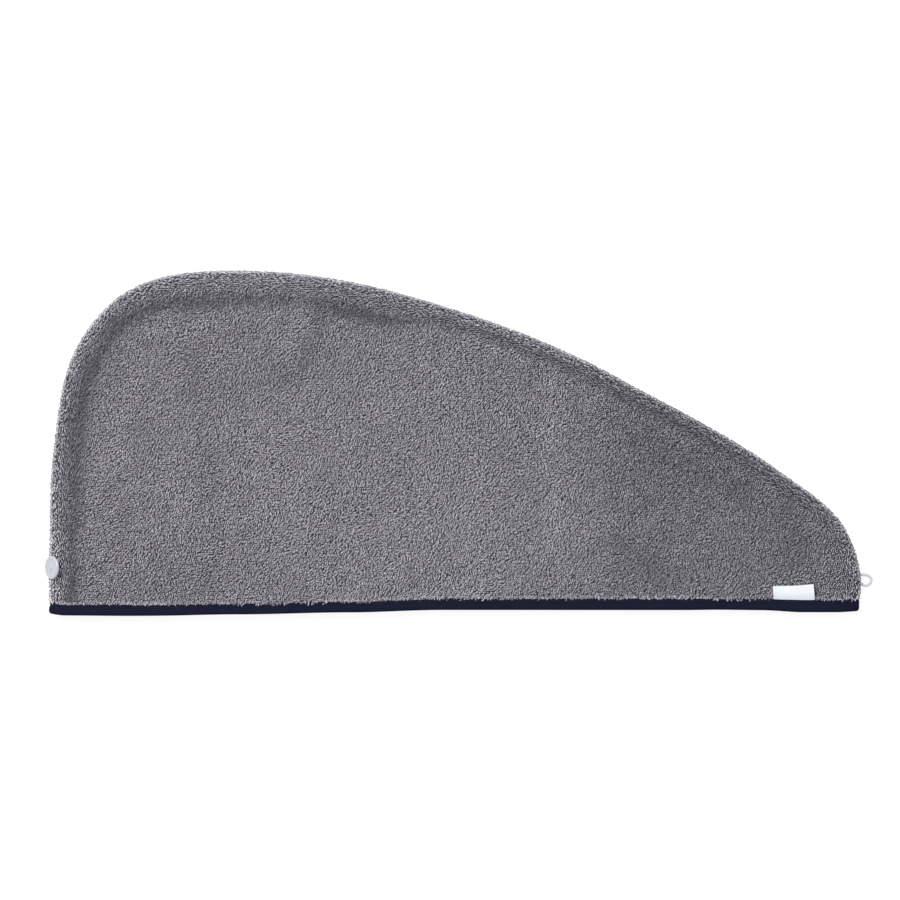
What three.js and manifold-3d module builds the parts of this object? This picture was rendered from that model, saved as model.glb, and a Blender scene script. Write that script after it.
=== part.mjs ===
// A hair turban towel laid flat. Two terry panels are sewn together along a curved seam, a folded
// tape binds the mouth, a button sits at the crown end and an elastic loop at the tail.
// Millimetres. +X runs along the mouth from the crown end to the tail, +Y from the mouth to the
// top of the crown, +Z up from the surface that the towel lies on.
import * as THREE from 'three';
import { mergeVertices } from 'three/addons/utils/BufferGeometryUtils.js';
import Module from 'manifold-3d';

const wasm = await Module();
wasm.setup();

// Driving sizes of the cloth
const towelLength = 650;
const towelWidth = 274;
const terryThickness = 3;
const foldGap = 1.3;
const seamAllowance = 12;
const ridgeRun = 2;
const valleyRun = 10;
const valleyDepth = 2.4;
const fieldRun = 20;
const fieldDrop = 0.4;
const creaseDepth = 1.4;
const creaseSpread = 13;
const clearance = 0.3;

// Driving sizes of the bound mouth
const tapeWidth = 8.5;
const tapeThickness = 1;
const tapeEdge = 0.4;
const innerLeafWidth = 7.5;
const hemThickness = 2;
const hemFade = 6;
const mouthBow = 3.2;
const bowHold = 18;
const bowFade = 60;

// Driving sizes of the button
const buttonDiameter = 18.8;
const buttonThickness = 2.4;
const buttonEdge = 0.7;
const buttonDish = 0.4;
const buttonBandWidth = 2.6;
const pipDiameter = 3.2;
const pipHeight = 0.5;
const shankDiameter = 4;
const shankDepth = 1.6;
const buttonLean = THREE.MathUtils.degToRad(54.5);
const buttonSlide = 2.8;
const buttonFromMouth = 36;

// Driving sizes of the elastic loop
const cordDiameter = 2.4;
const loopReach = 10.5;
const loopSpan = 10.6;
const loopFromMouth = 27;
const legLength = 8;

// Driving sizes of the label
const labelWidth = 32;
const labelShown = 10.8;
const labelTuck = 5;
const labelThickness = 0.6;
const labelLift = 0.4;
const labelFromTail = 53;
const labelTurn = THREE.MathUtils.degToRad(3.6);

// Levels that follow from them. The rim is four layers of terry with two gaps between them.
const seamGap = clearance / 2;
const rimHeight = 4 * terryThickness + 2 * foldGap;
const seamLevel = rimHeight / 2;
const bindingDepth = 2 * tapeThickness + 2 * clearance + hemThickness;
const hemInset = tapeThickness + clearance;
const hemRadius = seamLevel - hemInset;
const innerLevel = seamLevel - terryThickness;
const fieldLevel = seamLevel - fieldDrop;

// The seam line, from the crown end of the mouth round to its tail end. Along and across are
// shares of the towel's length and width, heading is the line's direction in degrees. The two
// marked corners are where the shoulder and the tail turn.
const seamLine = [
  { along: 0.002, across: 0, heading: 90 },
  { along: 0.002, across: 0.34, heading: 88.5 },
  { along: 0.014, across: 0.62, heading: 82 },
  { along: 0.078, across: 0.908, heading: 41, corner: true },
  { along: 0.228, across: 1, heading: 0 },
  { along: 0.43, across: 0.935, heading: -15.5 },
  { along: 0.7, across: 0.688, heading: -29 },
  { along: 0.9, across: 0.413, heading: -36.5, corner: true },
  { along: 0.984, across: 0.232, heading: -64 },
  { along: 1, across: 0.085, heading: -90 },
  { along: 0.998, across: 0.042, heading: -90 },
  { along: 0.998, across: 0, heading: -90 },
];

// The rim's thick band along the seam line: its width is a share of the seam allowance and of the
// runs beyond it, its depth a share of the valley's depth.
const rimShape = [
  { along: 0, width: 0.95, depth: 0.7 },
  { along: 0.12, width: 1, depth: 1 },
  { along: 0.42, width: 1, depth: 1 },
  { along: 0.55, width: 0.75, depth: 0.8 },
  { along: 0.86, width: 0.75, depth: 0.7 },
  { along: 1, width: 0.9, depth: 0.35 },
];

// The mouth's edge along the towel: its rise is a share of the bow, its width of the tape's.
const mouthShape = [
  { along: 0, rise: 0, width: 0.9 },
  { along: 0.02, rise: -0.38, width: 0.9 },
  { along: 0.14, rise: -0.38, width: 0.9 },
  { along: 0.235, rise: -0.12, width: 0.94 },
  { along: 0.37, rise: 0.38, width: 0.95 },
  { along: 0.485, rise: 1, width: 0.98 },
  { along: 0.81, rise: 1, width: 1 },
  { along: 0.877, rise: 0.75, width: 1.08 },
  { along: 0.93, rise: 0.25, width: 1.18 },
  { along: 0.97, rise: 0.25, width: 1.15 },
  { along: 1, rise: 0.5, width: 1.1 },
];

// Creases and dents of the upper panel, each along a short line from one place to another, in
// shares of the towel's length and width. A negative depth is a raised fold.
const creases = [
  { from: [0.337, 0.86], to: [0.313, 0.75], depth: 0.9, spread: 0.8 },
  { from: [0.313, 0.75], to: [0.272, 0.68], depth: 0.8, spread: 0.9 },
  { from: [0.31, 0.86], to: [0.29, 0.8], depth: -0.5, spread: 0.8 },
  { from: [0.39, 0.9], to: [0.44, 0.86], depth: 0.7, spread: 0.9 },
  { from: [0.178, 0.75], to: [0.178, 0.63], depth: 0.5, spread: 1 },
  { from: [0.203, 0.5], to: [0.2, 0.38], depth: 0.7, spread: 0.9 },
  { from: [0.112, 0.55], to: [0.111, 0.44], depth: 0.6, spread: 1 },
  { from: [0.106, 0.33], to: [0.088, 0.2], depth: 0.5, spread: 1 },
  { from: [0.147, 0.15], to: [0.19, 0.1], depth: 0.5, spread: 0.9 },
  { from: [0.081, 0.57], to: [0.081, 0.45], depth: -0.5, spread: 0.9 },
  { from: [0.622, 0.67], to: [0.62, 0.22], depth: -0.6, spread: 0.7 },
  { from: [0.699, 0.21], to: [0.757, 0.1], depth: 0.9, spread: 1 },
  { from: [0.723, 0.54], to: [0.76, 0.46], depth: 0.5, spread: 1 },
  { from: [0.858, 0.36], to: [0.795, 0.44], depth: 0.6, spread: 1 },
  { from: [0.91, 0.35], to: [0.924, 0.17], depth: 0.8, spread: 1 },
];

// How finely the surfaces are divided: a panel along its top and up its sides, the roll from the
// seam to the flat, the hem's rows with the share by which each is squeezed, and the round pieces.
const frontCells = { top: 38, side: 11 };
const backCells = { top: 26, side: 7 };
const rollAngles = [0, 22.5, 45, 67.5, 90].map((angle) => THREE.MathUtils.degToRad(angle));
const flapPoints = 3;
const squeezeOfRow = [1, 1, 0.5, 0];
const lastHemRow = squeezeOfRow.length - 1;
const straightCells = 24;
const labelCells = 4;
const buttonSides = 32;
const pocketSides = 16;
const cordSides = 10;
const cordSteps = 34;

const materials = {
  terry: new THREE.MeshStandardMaterial({ color: 0x7b797f, roughness: 0.96, metalness: 0 }),
  tape: new THREE.MeshStandardMaterial({ color: 0x1c2036, roughness: 0.8, metalness: 0 }),
  plastic: new THREE.MeshStandardMaterial({ color: 0xd1d5df, roughness: 0.3, metalness: 0 }),
  elastic: new THREE.MeshStandardMaterial({ color: 0xd4d5dc, roughness: 0.8, metalness: 0 }),
  label: new THREE.MeshStandardMaterial({ color: 0xe8eaf2, roughness: 0.75, metalness: 0 }),
};

const mix = THREE.MathUtils.lerp;
const clamp = THREE.MathUtils.clamp;

// The value of one column of a table at a place along it, eased between its rows.
function tableAt(table, along, column) {
  const place = clamp(along, table[0].along, table.at(-1).along);
  const next = Math.max(1, table.findIndex((row) => row.along >= place));
  const before = table[next - 1];
  const after = table[next];
  const share = THREE.MathUtils.smoothstep(place, before.along, after.along);
  return mix(before[column], after[column], share);
}

const bowAt = (x) => mouthBow * tableAt(mouthShape, x / towelLength, 'rise');
const tapeReachAt = (x) => tapeWidth * tableAt(mouthShape, x / towelLength, 'width');

// The bow of the mouth fades away over the cloth above it.
function lifted(x, y) {
  return y + bowAt(x) * clamp(1 - (y - bowHold) / bowFade, 0, 1);
}

// Heights above the mouth of the hem's rows: its foot inside the tape, just above the tape's edge,
// and two rows where the squeezed terry swells to its full thickness.
function hemRowAt(row, x) {
  const aboveTape = tapeReachAt(x) + clearance;
  return [hemInset, aboveTape, aboveTape + hemFade / 3, aboveTape + hemFade][row];
}

// How far the creases lower the upper panel at a place.
function creaseAt(x, y) {
  const place = new THREE.Vector3(x, y, 0);
  const onCloth = ([along, across]) => new THREE.Vector3(along * towelLength, across * towelWidth, 0);
  return creases.reduce((sum, { from, to, depth, spread }) => {
    const line = new THREE.Line3(onCloth(from), onCloth(to));
    const away = line.closestPointToPoint(place, true, new THREE.Vector3()).distanceTo(place);
    return sum + depth * creaseDepth * Math.exp(-((away / (spread * creaseSpread)) ** 2));
  }, 0);
}

// The seam line as one path of curves, each bending evenly between its two headings.
function makeSeamPath() {
  const path = new THREE.CurvePath();
  const spots = seamLine.map(
    ({ along, across }) => new THREE.Vector2(along * towelLength, across * towelWidth),
  );
  const ways = seamLine.map(({ heading }) => {
    const angle = THREE.MathUtils.degToRad(heading);
    return new THREE.Vector2(Math.cos(angle), Math.sin(angle));
  });
  for (let i = 1; i < spots.length; i += 1) {
    const turn = THREE.MathUtils.degToRad(seamLine[i - 1].heading - seamLine[i].heading);
    const handle = spots[i].distanceTo(spots[i - 1]) / (3 * Math.cos(turn / 4) ** 2);
    path.add(
      new THREE.CubicBezierCurve(
        spots[i - 1],
        spots[i - 1].clone().addScaledVector(ways[i - 1], handle),
        spots[i].clone().addScaledVector(ways[i], -handle),
        spots[i],
      ),
    );
  }
  return path;
}

const seam = makeSeamPath();
const seamLength = seam.getLength();
const crownEnd = seam.getPoint(0).x;
const tailEnd = seam.getPoint(1).x;

// A place on the seam line: its point and the direction into the cloth.
function seamPlace(distance) {
  const share = distance / seamLength;
  const along = seam.getTangent(share);
  return { share, point: seam.getPoint(share), inward: new THREE.Vector2(along.y, -along.x) };
}

// The places where a panel's rim is divided: the hem's rows at both ends, and between them the
// side up to the shoulder, the long top edge and the tail's side.
function seamStations(cells) {
  const lengths = seam.getCurveLengths();
  const corners = seamLine.flatMap((anchor, i) => (anchor.corner ? [lengths[i - 1]] : []));
  const hemRows = squeezeOfRow.map((squeeze, row) => row);
  const crownRows = hemRows.map((row) => hemRowAt(row, crownEnd));
  const tailRows = hemRows.map((row) => seamLength - hemRowAt(row, tailEnd));
  const stations = crownRows.map((distance, row) => ({ distance, row }));
  const stretch = (from, to, count) => {
    for (let i = 1; i <= count; i += 1) stations.push({ distance: mix(from, to, i / count) });
  };
  stretch(crownRows[lastHemRow], corners[0], cells.side);
  stretch(corners[0], corners[1], cells.top);
  stretch(corners[1], tailRows[lastHemRow], cells.side);
  stations.at(-1).row = lastHemRow;
  for (let row = lastHemRow - 1; row >= 0; row -= 1) stations.push({ distance: tailRows[row], row });
  return stations.map((station) => {
    const place = seamPlace(station.distance);
    if (station.row !== undefined) {
      place.inward = new THREE.Vector2(Math.sign(place.inward.x), 0);
    }
    return { ...station, ...place };
  });
}

// A place on the quarter round from the seam up to the flat, as its inset from the seam line and its
// height from the seam's level.
function roll(angle, radius) {
  return {
    inset: seamLevel - radius * Math.cos(angle),
    height: seamGap + (radius - seamGap) * Math.sin(angle),
  };
}

// The cross-section of a panel that is free of the tape, from the seam in to the field. Inside, its
// seam allowance is turned back as a flap under the rim.
function freeProfile(side, share) {
  const width = tableAt(rimShape, share, 'width');
  const depth = side > 0 ? valleyDepth * tableAt(rimShape, share, 'depth') : 0;
  const drop = side > 0 ? fieldDrop : 0;
  const allowance = seamAllowance * width;
  const ridge = (seamAllowance + ridgeRun) * width;
  const valley = ridge + valleyRun * width;
  const field = valley + fieldRun * width;
  const flats = [
    { inset: ridge, height: seamLevel },
    { inset: (ridge + valley) / 2, height: seamLevel - depth / 2 },
    { inset: valley, height: seamLevel - depth },
    { inset: (valley + field) / 2, height: seamLevel - (depth + drop) / 2 },
    { inset: field, height: seamLevel - drop },
  ];
  const crotch = Math.asin(terryThickness / (innerLevel - seamGap));
  const flap = [
    { inset: allowance, height: seamGap, flap: true },
    { inset: allowance, height: seamGap + terryThickness, flap: true },
    { ...roll(crotch, innerLevel), flap: true },
  ];
  return {
    outer: [...rollAngles.map((angle) => roll(angle, seamLevel)), ...flats],
    inner: [
      ...flap,
      ...rollAngles.slice(flapPoints).map((angle) => roll(angle, innerLevel)),
      ...flats.map(({ inset, height }) => ({ inset, height: height - terryThickness })),
    ],
  };
}

// The cross-section of a panel squeezed inside the tape: no flap, and flat past the roll.
function hemProfile(free) {
  const layer = (radius) => [
    ...rollAngles.map((angle) => roll(angle, radius)),
    ...free.outer.slice(rollAngles.length).map(({ inset }) => ({ inset, height: radius })),
  ];
  return { outer: layer(hemRadius), inner: layer(hemRadius - hemThickness) };
}

function blendProfiles(free, hem, squeeze) {
  const blend = (a, b) => a.map((spot, i) => ({
    ...spot,
    inset: mix(spot.inset, b[i].inset, squeeze),
    height: mix(spot.height, b[i].height, squeeze),
  }));
  return { outer: blend(free.outer, hem.outer), inner: blend(free.inner, hem.inner) };
}

// Points and faces of one closed body.
class Body {
  points = [];
  faces = [];

  point(x, y, z) {
    this.points.push([x, y, z]);
    return this.points.length - 1;
  }

  quad(a, b, c, d) {
    this.faces.push([a, b, c], [a, c, d]);
  }

  geometry(turned = false) {
    const order = turned ? [0, 2, 1] : [0, 1, 2];
    const index = this.faces.flatMap((face) => order.map((i) => face[i]));
    const geometry = new THREE.BufferGeometry();
    geometry.setAttribute('position', new THREE.Float32BufferAttribute(this.points.flat(), 3));
    geometry.setIndex(index);
    return geometry;
  }
}

// Spreads the points of a sheet evenly between its edges, from a given row on. One round for each
// cell of the sheet leaves every point at rest.
function relax(grid, firstRow) {
  const rounds = (grid.length - 1) * (grid[0].length - 1);
  for (let round = 0; round < rounds; round += 1) {
    for (let i = 1; i < grid.length - 1; i += 1) {
      for (let j = firstRow; j < grid[i].length - 1; j += 1) {
        const near = [grid[i - 1][j], grid[i + 1][j], grid[i][j - 1], grid[i][j + 1]];
        grid[i][j].set(0, 0);
        near.forEach((spot) => grid[i][j].addScaledVector(spot, 1 / near.length));
      }
    }
  }
}

// Where the points of a panel's middle lie, seen from above: straight rows over the hem and an even
// sheet above them, between the inner edges of the rim.
function middleGrid(edge, cells) {
  const last = edge.length - 1;
  const rows = lastHemRow + cells.side;
  const grid = [];
  for (let i = 0; i <= cells.top; i += 1) {
    grid.push([]);
    for (let j = 0; j <= rows; j += 1) {
      const across = edge[j].clone().lerp(edge[last - j], i / cells.top);
      if (j <= lastHemRow && i > 0 && i < cells.top) across.y = hemRowAt(j, across.x);
      grid[i].push(j === rows ? edge[rows + i].clone() : across);
    }
  }
  relax(grid, lastHemRow + 1);
  return grid;
}

// A terry panel, the upper one for side 1 and the under one for side -1.
function makePanel(side, cells) {
  const body = new Body();
  const stations = seamStations(cells);
  const last = stations.length - 1;
  const rows = lastHemRow + cells.side;
  const place = (x, y, height) => body.point(x, lifted(x, y), seamLevel + side * height);
  const sink = (x, y, inset) => {
    const share = clamp(inset / seamLevel - 1, 0, 1);
    return side > 0 ? share * creaseAt(x, y) : 0;
  };

  // The rim, one ring of points at each station, from the field over the roll and back inside
  const rings = stations.map(({ point, inward, share, row }) => {
    const squeeze = row === undefined ? 0 : squeezeOfRow[row];
    const free = freeProfile(side, share);
    const { outer, inner } = blendProfiles(free, hemProfile(free), squeeze);
    const spot = ({ inset, height, flap }) => {
      const x = point.x + inward.x * inset;
      const y = row === undefined ? point.y + inward.y * inset : hemRowAt(row, x);
      return place(x, y, flap ? height : height - (1 - squeeze) * sink(x, y, inset));
    };
    return [...outer.map(spot).reverse(), ...inner.map(spot)];
  });
  const ringEnd = rings[0].length - 1;
  for (let s = 0; s < last; s += 1) {
    for (let k = 0; k < ringEnd; k += 1) {
      body.quad(rings[s][k], rings[s + 1][k], rings[s + 1][k + 1], rings[s][k + 1]);
    }
  }

  // The middle, above and below
  const edge = stations.map(({ point, inward, share, row }) => {
    const { inset } = freeProfile(side, share).outer.at(-1);
    const x = point.x + inward.x * inset;
    return new THREE.Vector2(x, row === undefined ? point.y + inward.y * inset : hemRowAt(row, x));
  });
  const grid = middleGrid(edge, cells);
  const fieldHeight = side > 0 ? fieldLevel : seamLevel;
  const sheet = (freeHeight, hemHeight, ringPoint) => grid.map((column, i) => column.map((spot, j) => {
    if (i === 0) return rings[j][ringPoint];
    if (i === cells.top) return rings[last - j][ringPoint];
    if (j === rows) return rings[rows + i][ringPoint];
    const squeeze = squeezeOfRow[j] ?? 0;
    const height = freeHeight - sink(spot.x, spot.y, 2 * seamLevel);
    return place(spot.x, spot.y, mix(height, hemHeight, squeeze));
  }));
  const above = sheet(fieldHeight, hemRadius, 0);
  const below = sheet(fieldHeight - terryThickness, hemRadius - hemThickness, ringEnd);
  for (let i = 0; i < cells.top; i += 1) {
    for (let j = 0; j < rows; j += 1) {
      const top = [above[i][j], above[i + 1][j], above[i + 1][j + 1], above[i][j + 1]];
      const under = [below[i + 1][j], below[i][j], below[i][j + 1], below[i + 1][j + 1]];
      const atShoulder = i === 0 && j === rows - 1;
      const atTail = i === cells.top - 1 && j === rows - 1;
      if (atShoulder) top.push(top.shift());
      if (atTail) under.push(under.shift());
      body.quad(...top);
      body.quad(...under);
    }
  }

  // The foot of the hem, inside the tape's fold
  const half = rings[0].length / 2;
  for (let k = 0; k < half - 1; k += 1) {
    const crown = rings[0];
    const tail = rings[last];
    body.quad(crown[ringEnd - k - 1], crown[ringEnd - k], crown[k], crown[k + 1]);
    body.quad(tail[ringEnd - k], tail[ringEnd - k - 1], tail[k + 1], tail[k]);
  }
  for (let i = 0; i < cells.top; i += 1) {
    body.quad(below[i][0], below[i + 1][0], above[i + 1][0], above[i][0]);
  }
  return body.geometry(side < 0);
}

// The tape, a folded channel led round the mouth's flat ring: over the top, down round the tail
// end, back underneath and up round the crown end.
function makeBinding() {
  const arcCells = 2 * (rollAngles.length - 1);
  const crownCentre = crownEnd + seamLevel;
  const tailCentre = tailEnd - seamLevel;
  const path = [];
  for (let i = 0; i < straightCells; i += 1) {
    path.push({ centre: mix(crownCentre, tailCentre, i / straightCells), angle: Math.PI / 2 });
  }
  for (let i = 0; i < arcCells; i += 1) {
    path.push({ centre: tailCentre, angle: Math.PI * (0.5 - i / arcCells) });
  }
  for (let i = 0; i < straightCells; i += 1) {
    path.push({ centre: mix(tailCentre, crownCentre, i / straightCells), angle: -Math.PI / 2 });
  }
  for (let i = 0; i < arcCells; i += 1) {
    path.push({ centre: crownCentre, angle: -Math.PI * (0.5 + i / arcCells) });
  }
  const body = new Body();
  const rings = path.map(({ centre, angle }) => {
    const reach = tapeReachAt(centre + seamLevel * Math.cos(angle));
    const section = [
      [0, reach],
      [0, tapeEdge],
      [tapeEdge, 0],
      [bindingDepth - tapeEdge, 0],
      [bindingDepth, tapeEdge],
      [bindingDepth, innerLeafWidth],
      [bindingDepth - tapeThickness, innerLeafWidth],
      [bindingDepth - tapeThickness, tapeThickness],
      [tapeThickness, tapeThickness],
      [tapeThickness, reach],
    ];
    return section.map(([depth, y]) => {
      const x = centre + (seamLevel - depth) * Math.cos(angle);
      return body.point(x, lifted(x, y), seamLevel + (seamLevel - depth) * Math.sin(angle));
    });
  });
  rings.forEach((ring, p) => {
    const next = rings[(p + 1) % rings.length];
    ring.forEach((point, q) => {
      const after = (q + 1) % ring.length;
      body.quad(point, ring[after], next[after], next[q]);
    });
  });
  return body.geometry();
}

// The button about its own axis, back face at height 0, its shank below.
function buttonProfile() {
  const radius = buttonDiameter / 2;
  const dish = buttonThickness - buttonDish;
  return [
    [0, -shankLength],
    [shankDiameter / 2, -shankLength],
    [shankDiameter / 2, 0],
    [radius - buttonEdge, 0],
    [radius, buttonEdge],
    [radius, buttonThickness - buttonEdge],
    [radius - buttonEdge, buttonThickness],
    [radius - buttonBandWidth, dish],
    [pipDiameter / 2, dish],
    [pipDiameter / 2 - pipHeight / 2, dish + pipHeight],
    [0, dish + pipHeight],
  ].map(([x, y]) => new THREE.Vector2(x, y));
}

// The button leans outwards on the roll of the rim. Its back would touch the roll at one place, and
// it sits a little further up from there, so its shank reaches down past the gap that opens.
const slideGap = seamLevel - Math.sqrt(seamLevel ** 2 - buttonSlide ** 2);
const shankLength = clearance + slideGap + shankDepth;

function buttonFrame() {
  const axis = new THREE.Vector3(-Math.sin(buttonLean), 0, Math.cos(buttonLean));
  const upTheRoll = new THREE.Vector3(Math.cos(buttonLean), 0, Math.sin(buttonLean));
  const edge = seamPlace(buttonFromMouth).point;
  const seat = new THREE.Vector3(edge.x + seamLevel, lifted(edge.x, edge.y), seamLevel)
    .addScaledVector(axis, seamLevel + clearance)
    .addScaledVector(upTheRoll, buttonSlide);
  const turn = new THREE.Quaternion().setFromUnitVectors(new THREE.Vector3(0, 1, 0), axis);
  return { seat, turn };
}

function shankPocket() {
  const radius = shankDiameter / 2 + clearance;
  const profile = [
    [0, -shankLength - clearance],
    [radius, -shankLength - clearance],
    [radius, 0],
    [0, 0],
  ].map(([x, y]) => new THREE.Vector2(x, y));
  const { seat, turn } = buttonFrame();
  return new THREE.LatheGeometry(profile, pocketSides).applyMatrix4(
    new THREE.Matrix4().compose(seat, turn, new THREE.Vector3(1, 1, 1)),
  );
}

// The elastic cord's centre line: out is a share of the loop's reach past the seam line, up a share
// of the span between its legs. Inside the seam the legs run straight.
const loopLine = [
  { out: 0.25, up: 0.5 },
  { out: 0.62, up: 0.52 },
  { out: 0.92, up: 0.33 },
  { out: 1, up: -0.02 },
  { out: 0.85, up: -0.36 },
  { out: 0.5, up: -0.54 },
  { out: 0.2, up: -0.5 },
];

// A round cord along the loop, wider and longer by a margin for the tunnel that it lies in.
function makeLoop(margin) {
  const middle = seamPlace(seamLength - loopFromMouth).point;
  const reach = loopReach - cordDiameter / 2;
  const spot = (out, up) => new THREE.Vector3(middle.x + out, middle.y + up * loopSpan, seamLevel);
  const leg = (up) => [-legLength - margin, -legLength / 2, 0].map((out) => spot(out, up));
  const line = new THREE.CatmullRomCurve3(
    [
      ...leg(loopLine[0].up),
      ...loopLine.map(({ out, up }) => spot(out * reach, up)),
      ...leg(loopLine.at(-1).up).reverse(),
    ],
    false,
    'centripetal',
  );
  const radius = cordDiameter / 2 + margin;
  const ring = new THREE.Shape();
  ring.absarc(0, 0, radius, 0, 2 * Math.PI);
  return new THREE.ExtrudeGeometry(ring, {
    steps: cordSteps,
    curveSegments: cordSides / 2,
    extrudePath: line,
    bevelEnabled: false,
  });
}

// The label, a flat strip that lies on the terry and runs in under the tape's edge. The margin
// widens it for the pocket that it presses into the hem.
function makeLabel(margin) {
  const middle = tailEnd - labelFromTail;
  const upShares = [0, 0.3, 0.42, 0.54, 0.66, 1];
  const length = labelTuck + labelShown + 2 * margin;
  const width = labelWidth + 2 * margin;
  const tapeTop = tapeReachAt(middle);
  const body = new Body();
  const rows = upShares.map((share) => {
    const row = { top: [], under: [] };
    for (let i = 0; i <= labelCells; i += 1) {
      const along = width * (i / labelCells - 0.5);
      const up = length * share - labelTuck - margin;
      const x = middle + along * Math.cos(labelTurn) - up * Math.sin(labelTurn);
      const y = tapeTop + along * Math.sin(labelTurn) + up * Math.cos(labelTurn);
      const freed = THREE.MathUtils.smoothstep(y, hemRowAt(1, x), hemRowAt(lastHemRow, x));
      const height = seamLevel + mix(hemRadius - labelThickness, fieldLevel + labelLift, freed);
      row.under.push(body.point(x, lifted(x, y), height - margin));
      row.top.push(body.point(x, lifted(x, y), height + labelThickness + margin));
    }
    return row;
  });
  for (let v = 1; v < rows.length; v += 1) {
    const [a, b] = [rows[v - 1], rows[v]];
    for (let i = 0; i < labelCells; i += 1) {
      body.quad(a.top[i], a.top[i + 1], b.top[i + 1], b.top[i]);
      body.quad(a.under[i + 1], a.under[i], b.under[i], b.under[i + 1]);
    }
    body.quad(a.under[0], a.top[0], b.top[0], b.under[0]);
    body.quad(a.top[labelCells], a.under[labelCells], b.under[labelCells], b.top[labelCells]);
  }
  const [first, end] = [rows[0], rows.at(-1)];
  for (let i = 0; i < labelCells; i += 1) {
    body.quad(first.under[i], first.under[i + 1], first.top[i + 1], first.top[i]);
    body.quad(end.top[i], end.top[i + 1], end.under[i + 1], end.under[i]);
  }
  return body.geometry();
}

// Cuts the given bodies out of a geometry.
function carve(geometry, cutters) {
  const toSolid = (source) => {
    const bare = new THREE.BufferGeometry();
    bare.setAttribute('position', source.getAttribute('position').clone());
    if (source.index) bare.setIndex(source.index.clone());
    const merged = mergeVertices(bare, 1e-4);
    return new wasm.Manifold(new wasm.Mesh({
      numProp: 3,
      vertProperties: merged.getAttribute('position').array,
      triVerts: new Uint32Array(merged.index.array),
    }));
  };
  const cut = cutters.reduce((solid, cutter) => solid.subtract(toSolid(cutter)), toSolid(geometry));
  const { vertProperties, triVerts } = cut.getMesh();
  const result = new THREE.BufferGeometry();
  result.setAttribute('position', new THREE.BufferAttribute(vertProperties, 3));
  result.setIndex(new THREE.BufferAttribute(triVerts, 1));
  return result;
}

function addPiece(group, name, geometry, material) {
  geometry.computeVertexNormals();
  const mesh = new THREE.Mesh(geometry, material);
  mesh.name = name;
  group.add(mesh);
  return mesh;
}

const towel = new THREE.Group();
const loopTunnel = makeLoop(clearance);
addPiece(
  towel,
  'front_panel',
  carve(makePanel(1, frontCells), [loopTunnel, shankPocket(), makeLabel(clearance)]),
  materials.terry,
);
addPiece(towel, 'back_panel', carve(makePanel(-1, backCells), [loopTunnel]), materials.terry);
addPiece(towel, 'binding', makeBinding(), materials.tape);
const button = addPiece(
  towel,
  'button',
  new THREE.LatheGeometry(buttonProfile(), buttonSides),
  materials.plastic,
);
button.position.copy(buttonFrame().seat);
button.quaternion.copy(buttonFrame().turn);
addPiece(towel, 'elastic_loop', makeLoop(0), materials.elastic);
addPiece(towel, 'label', makeLabel(0), materials.label);

// The origin is under the middle of the towel's outer box, on the surface that it lies on.
const box = new THREE.Box3().setFromObject(towel, true);
const middle = box.getCenter(new THREE.Vector3());
towel.position.set(-middle.x, -middle.y, -box.min.z);

export default towel;
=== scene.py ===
import math

import bmesh
import bpy
import numpy as np
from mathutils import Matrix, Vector
from mathutils.geometry import delaunay_2d_cdt


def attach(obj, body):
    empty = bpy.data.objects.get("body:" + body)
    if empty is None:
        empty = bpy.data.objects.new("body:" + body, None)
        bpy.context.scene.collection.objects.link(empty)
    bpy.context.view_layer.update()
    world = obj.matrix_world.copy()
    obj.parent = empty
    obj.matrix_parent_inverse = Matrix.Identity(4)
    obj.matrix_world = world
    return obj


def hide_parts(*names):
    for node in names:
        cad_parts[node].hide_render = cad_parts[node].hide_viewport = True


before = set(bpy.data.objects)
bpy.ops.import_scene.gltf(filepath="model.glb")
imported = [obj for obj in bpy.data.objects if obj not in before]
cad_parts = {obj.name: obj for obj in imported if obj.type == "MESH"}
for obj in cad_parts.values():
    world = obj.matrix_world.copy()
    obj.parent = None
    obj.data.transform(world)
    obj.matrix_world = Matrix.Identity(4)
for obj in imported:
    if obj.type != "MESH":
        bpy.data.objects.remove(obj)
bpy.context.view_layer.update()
print("frame loaded")

# The shapes are worked out in millimetres, from the crown end of the mouth: x along the mouth, y up
# towards the crown, z up from the surface below. Only addPiece moves them to the frame's own place.
dice = np.random.default_rng(11)


def smooth(value):  # eases from 0 to 1
    value = np.clip(value, 0, 1)
    return value * value * (3 - 2 * value)


def hill(away, size):  # 1 at a place, fading to 0 on both sides of it
    return np.exp(-((away / size) ** 2))


def blend(first, second, share):
    return first + (second - first) * share


def unit(vectors):
    return vectors / np.maximum(np.linalg.norm(vectors, axis=-1, keepdims=True), 1e-9)


def atPlace(table, along, column):  # a column of a table, eased between its rows
    rows = np.array(table, float)
    along = np.clip(along, rows[0, 0], rows[-1, 0])
    after = np.clip(np.searchsorted(rows[:, 0], along), 1, len(rows) - 1)
    low, high = rows[after - 1], rows[after]
    share = smooth((along - low[..., 0]) / (high[..., 0] - low[..., 0]))
    return blend(low[..., column], high[..., column], share)


# shaders: a wire is a socket that can be used in sums
class Wire:
    def __init__(self, paint, socket):
        self.paint, self.socket = paint, socket

    def maths(self, operation, *values):
        return self.paint.node("Math", {"operation": operation}, dict(enumerate(values)))

    def __add__(self, other): return self.maths("ADD", self, other)
    def __radd__(self, other): return self.maths("ADD", other, self)
    def __sub__(self, other): return self.maths("SUBTRACT", self, other)
    def __rsub__(self, other): return self.maths("SUBTRACT", other, self)
    def __mul__(self, other): return self.maths("MULTIPLY", self, other)
    def __rmul__(self, other): return self.maths("MULTIPLY", other, self)
    def __pow__(self, other): return self.maths("POWER", self, other)
    def __rpow__(self, other): return self.maths("POWER", other, self)
    def most(self, other): return self.maths("MAXIMUM", self, other)
    def ripple(self): return self.maths("SINE", self) * 0.5 + 0.5


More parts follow.
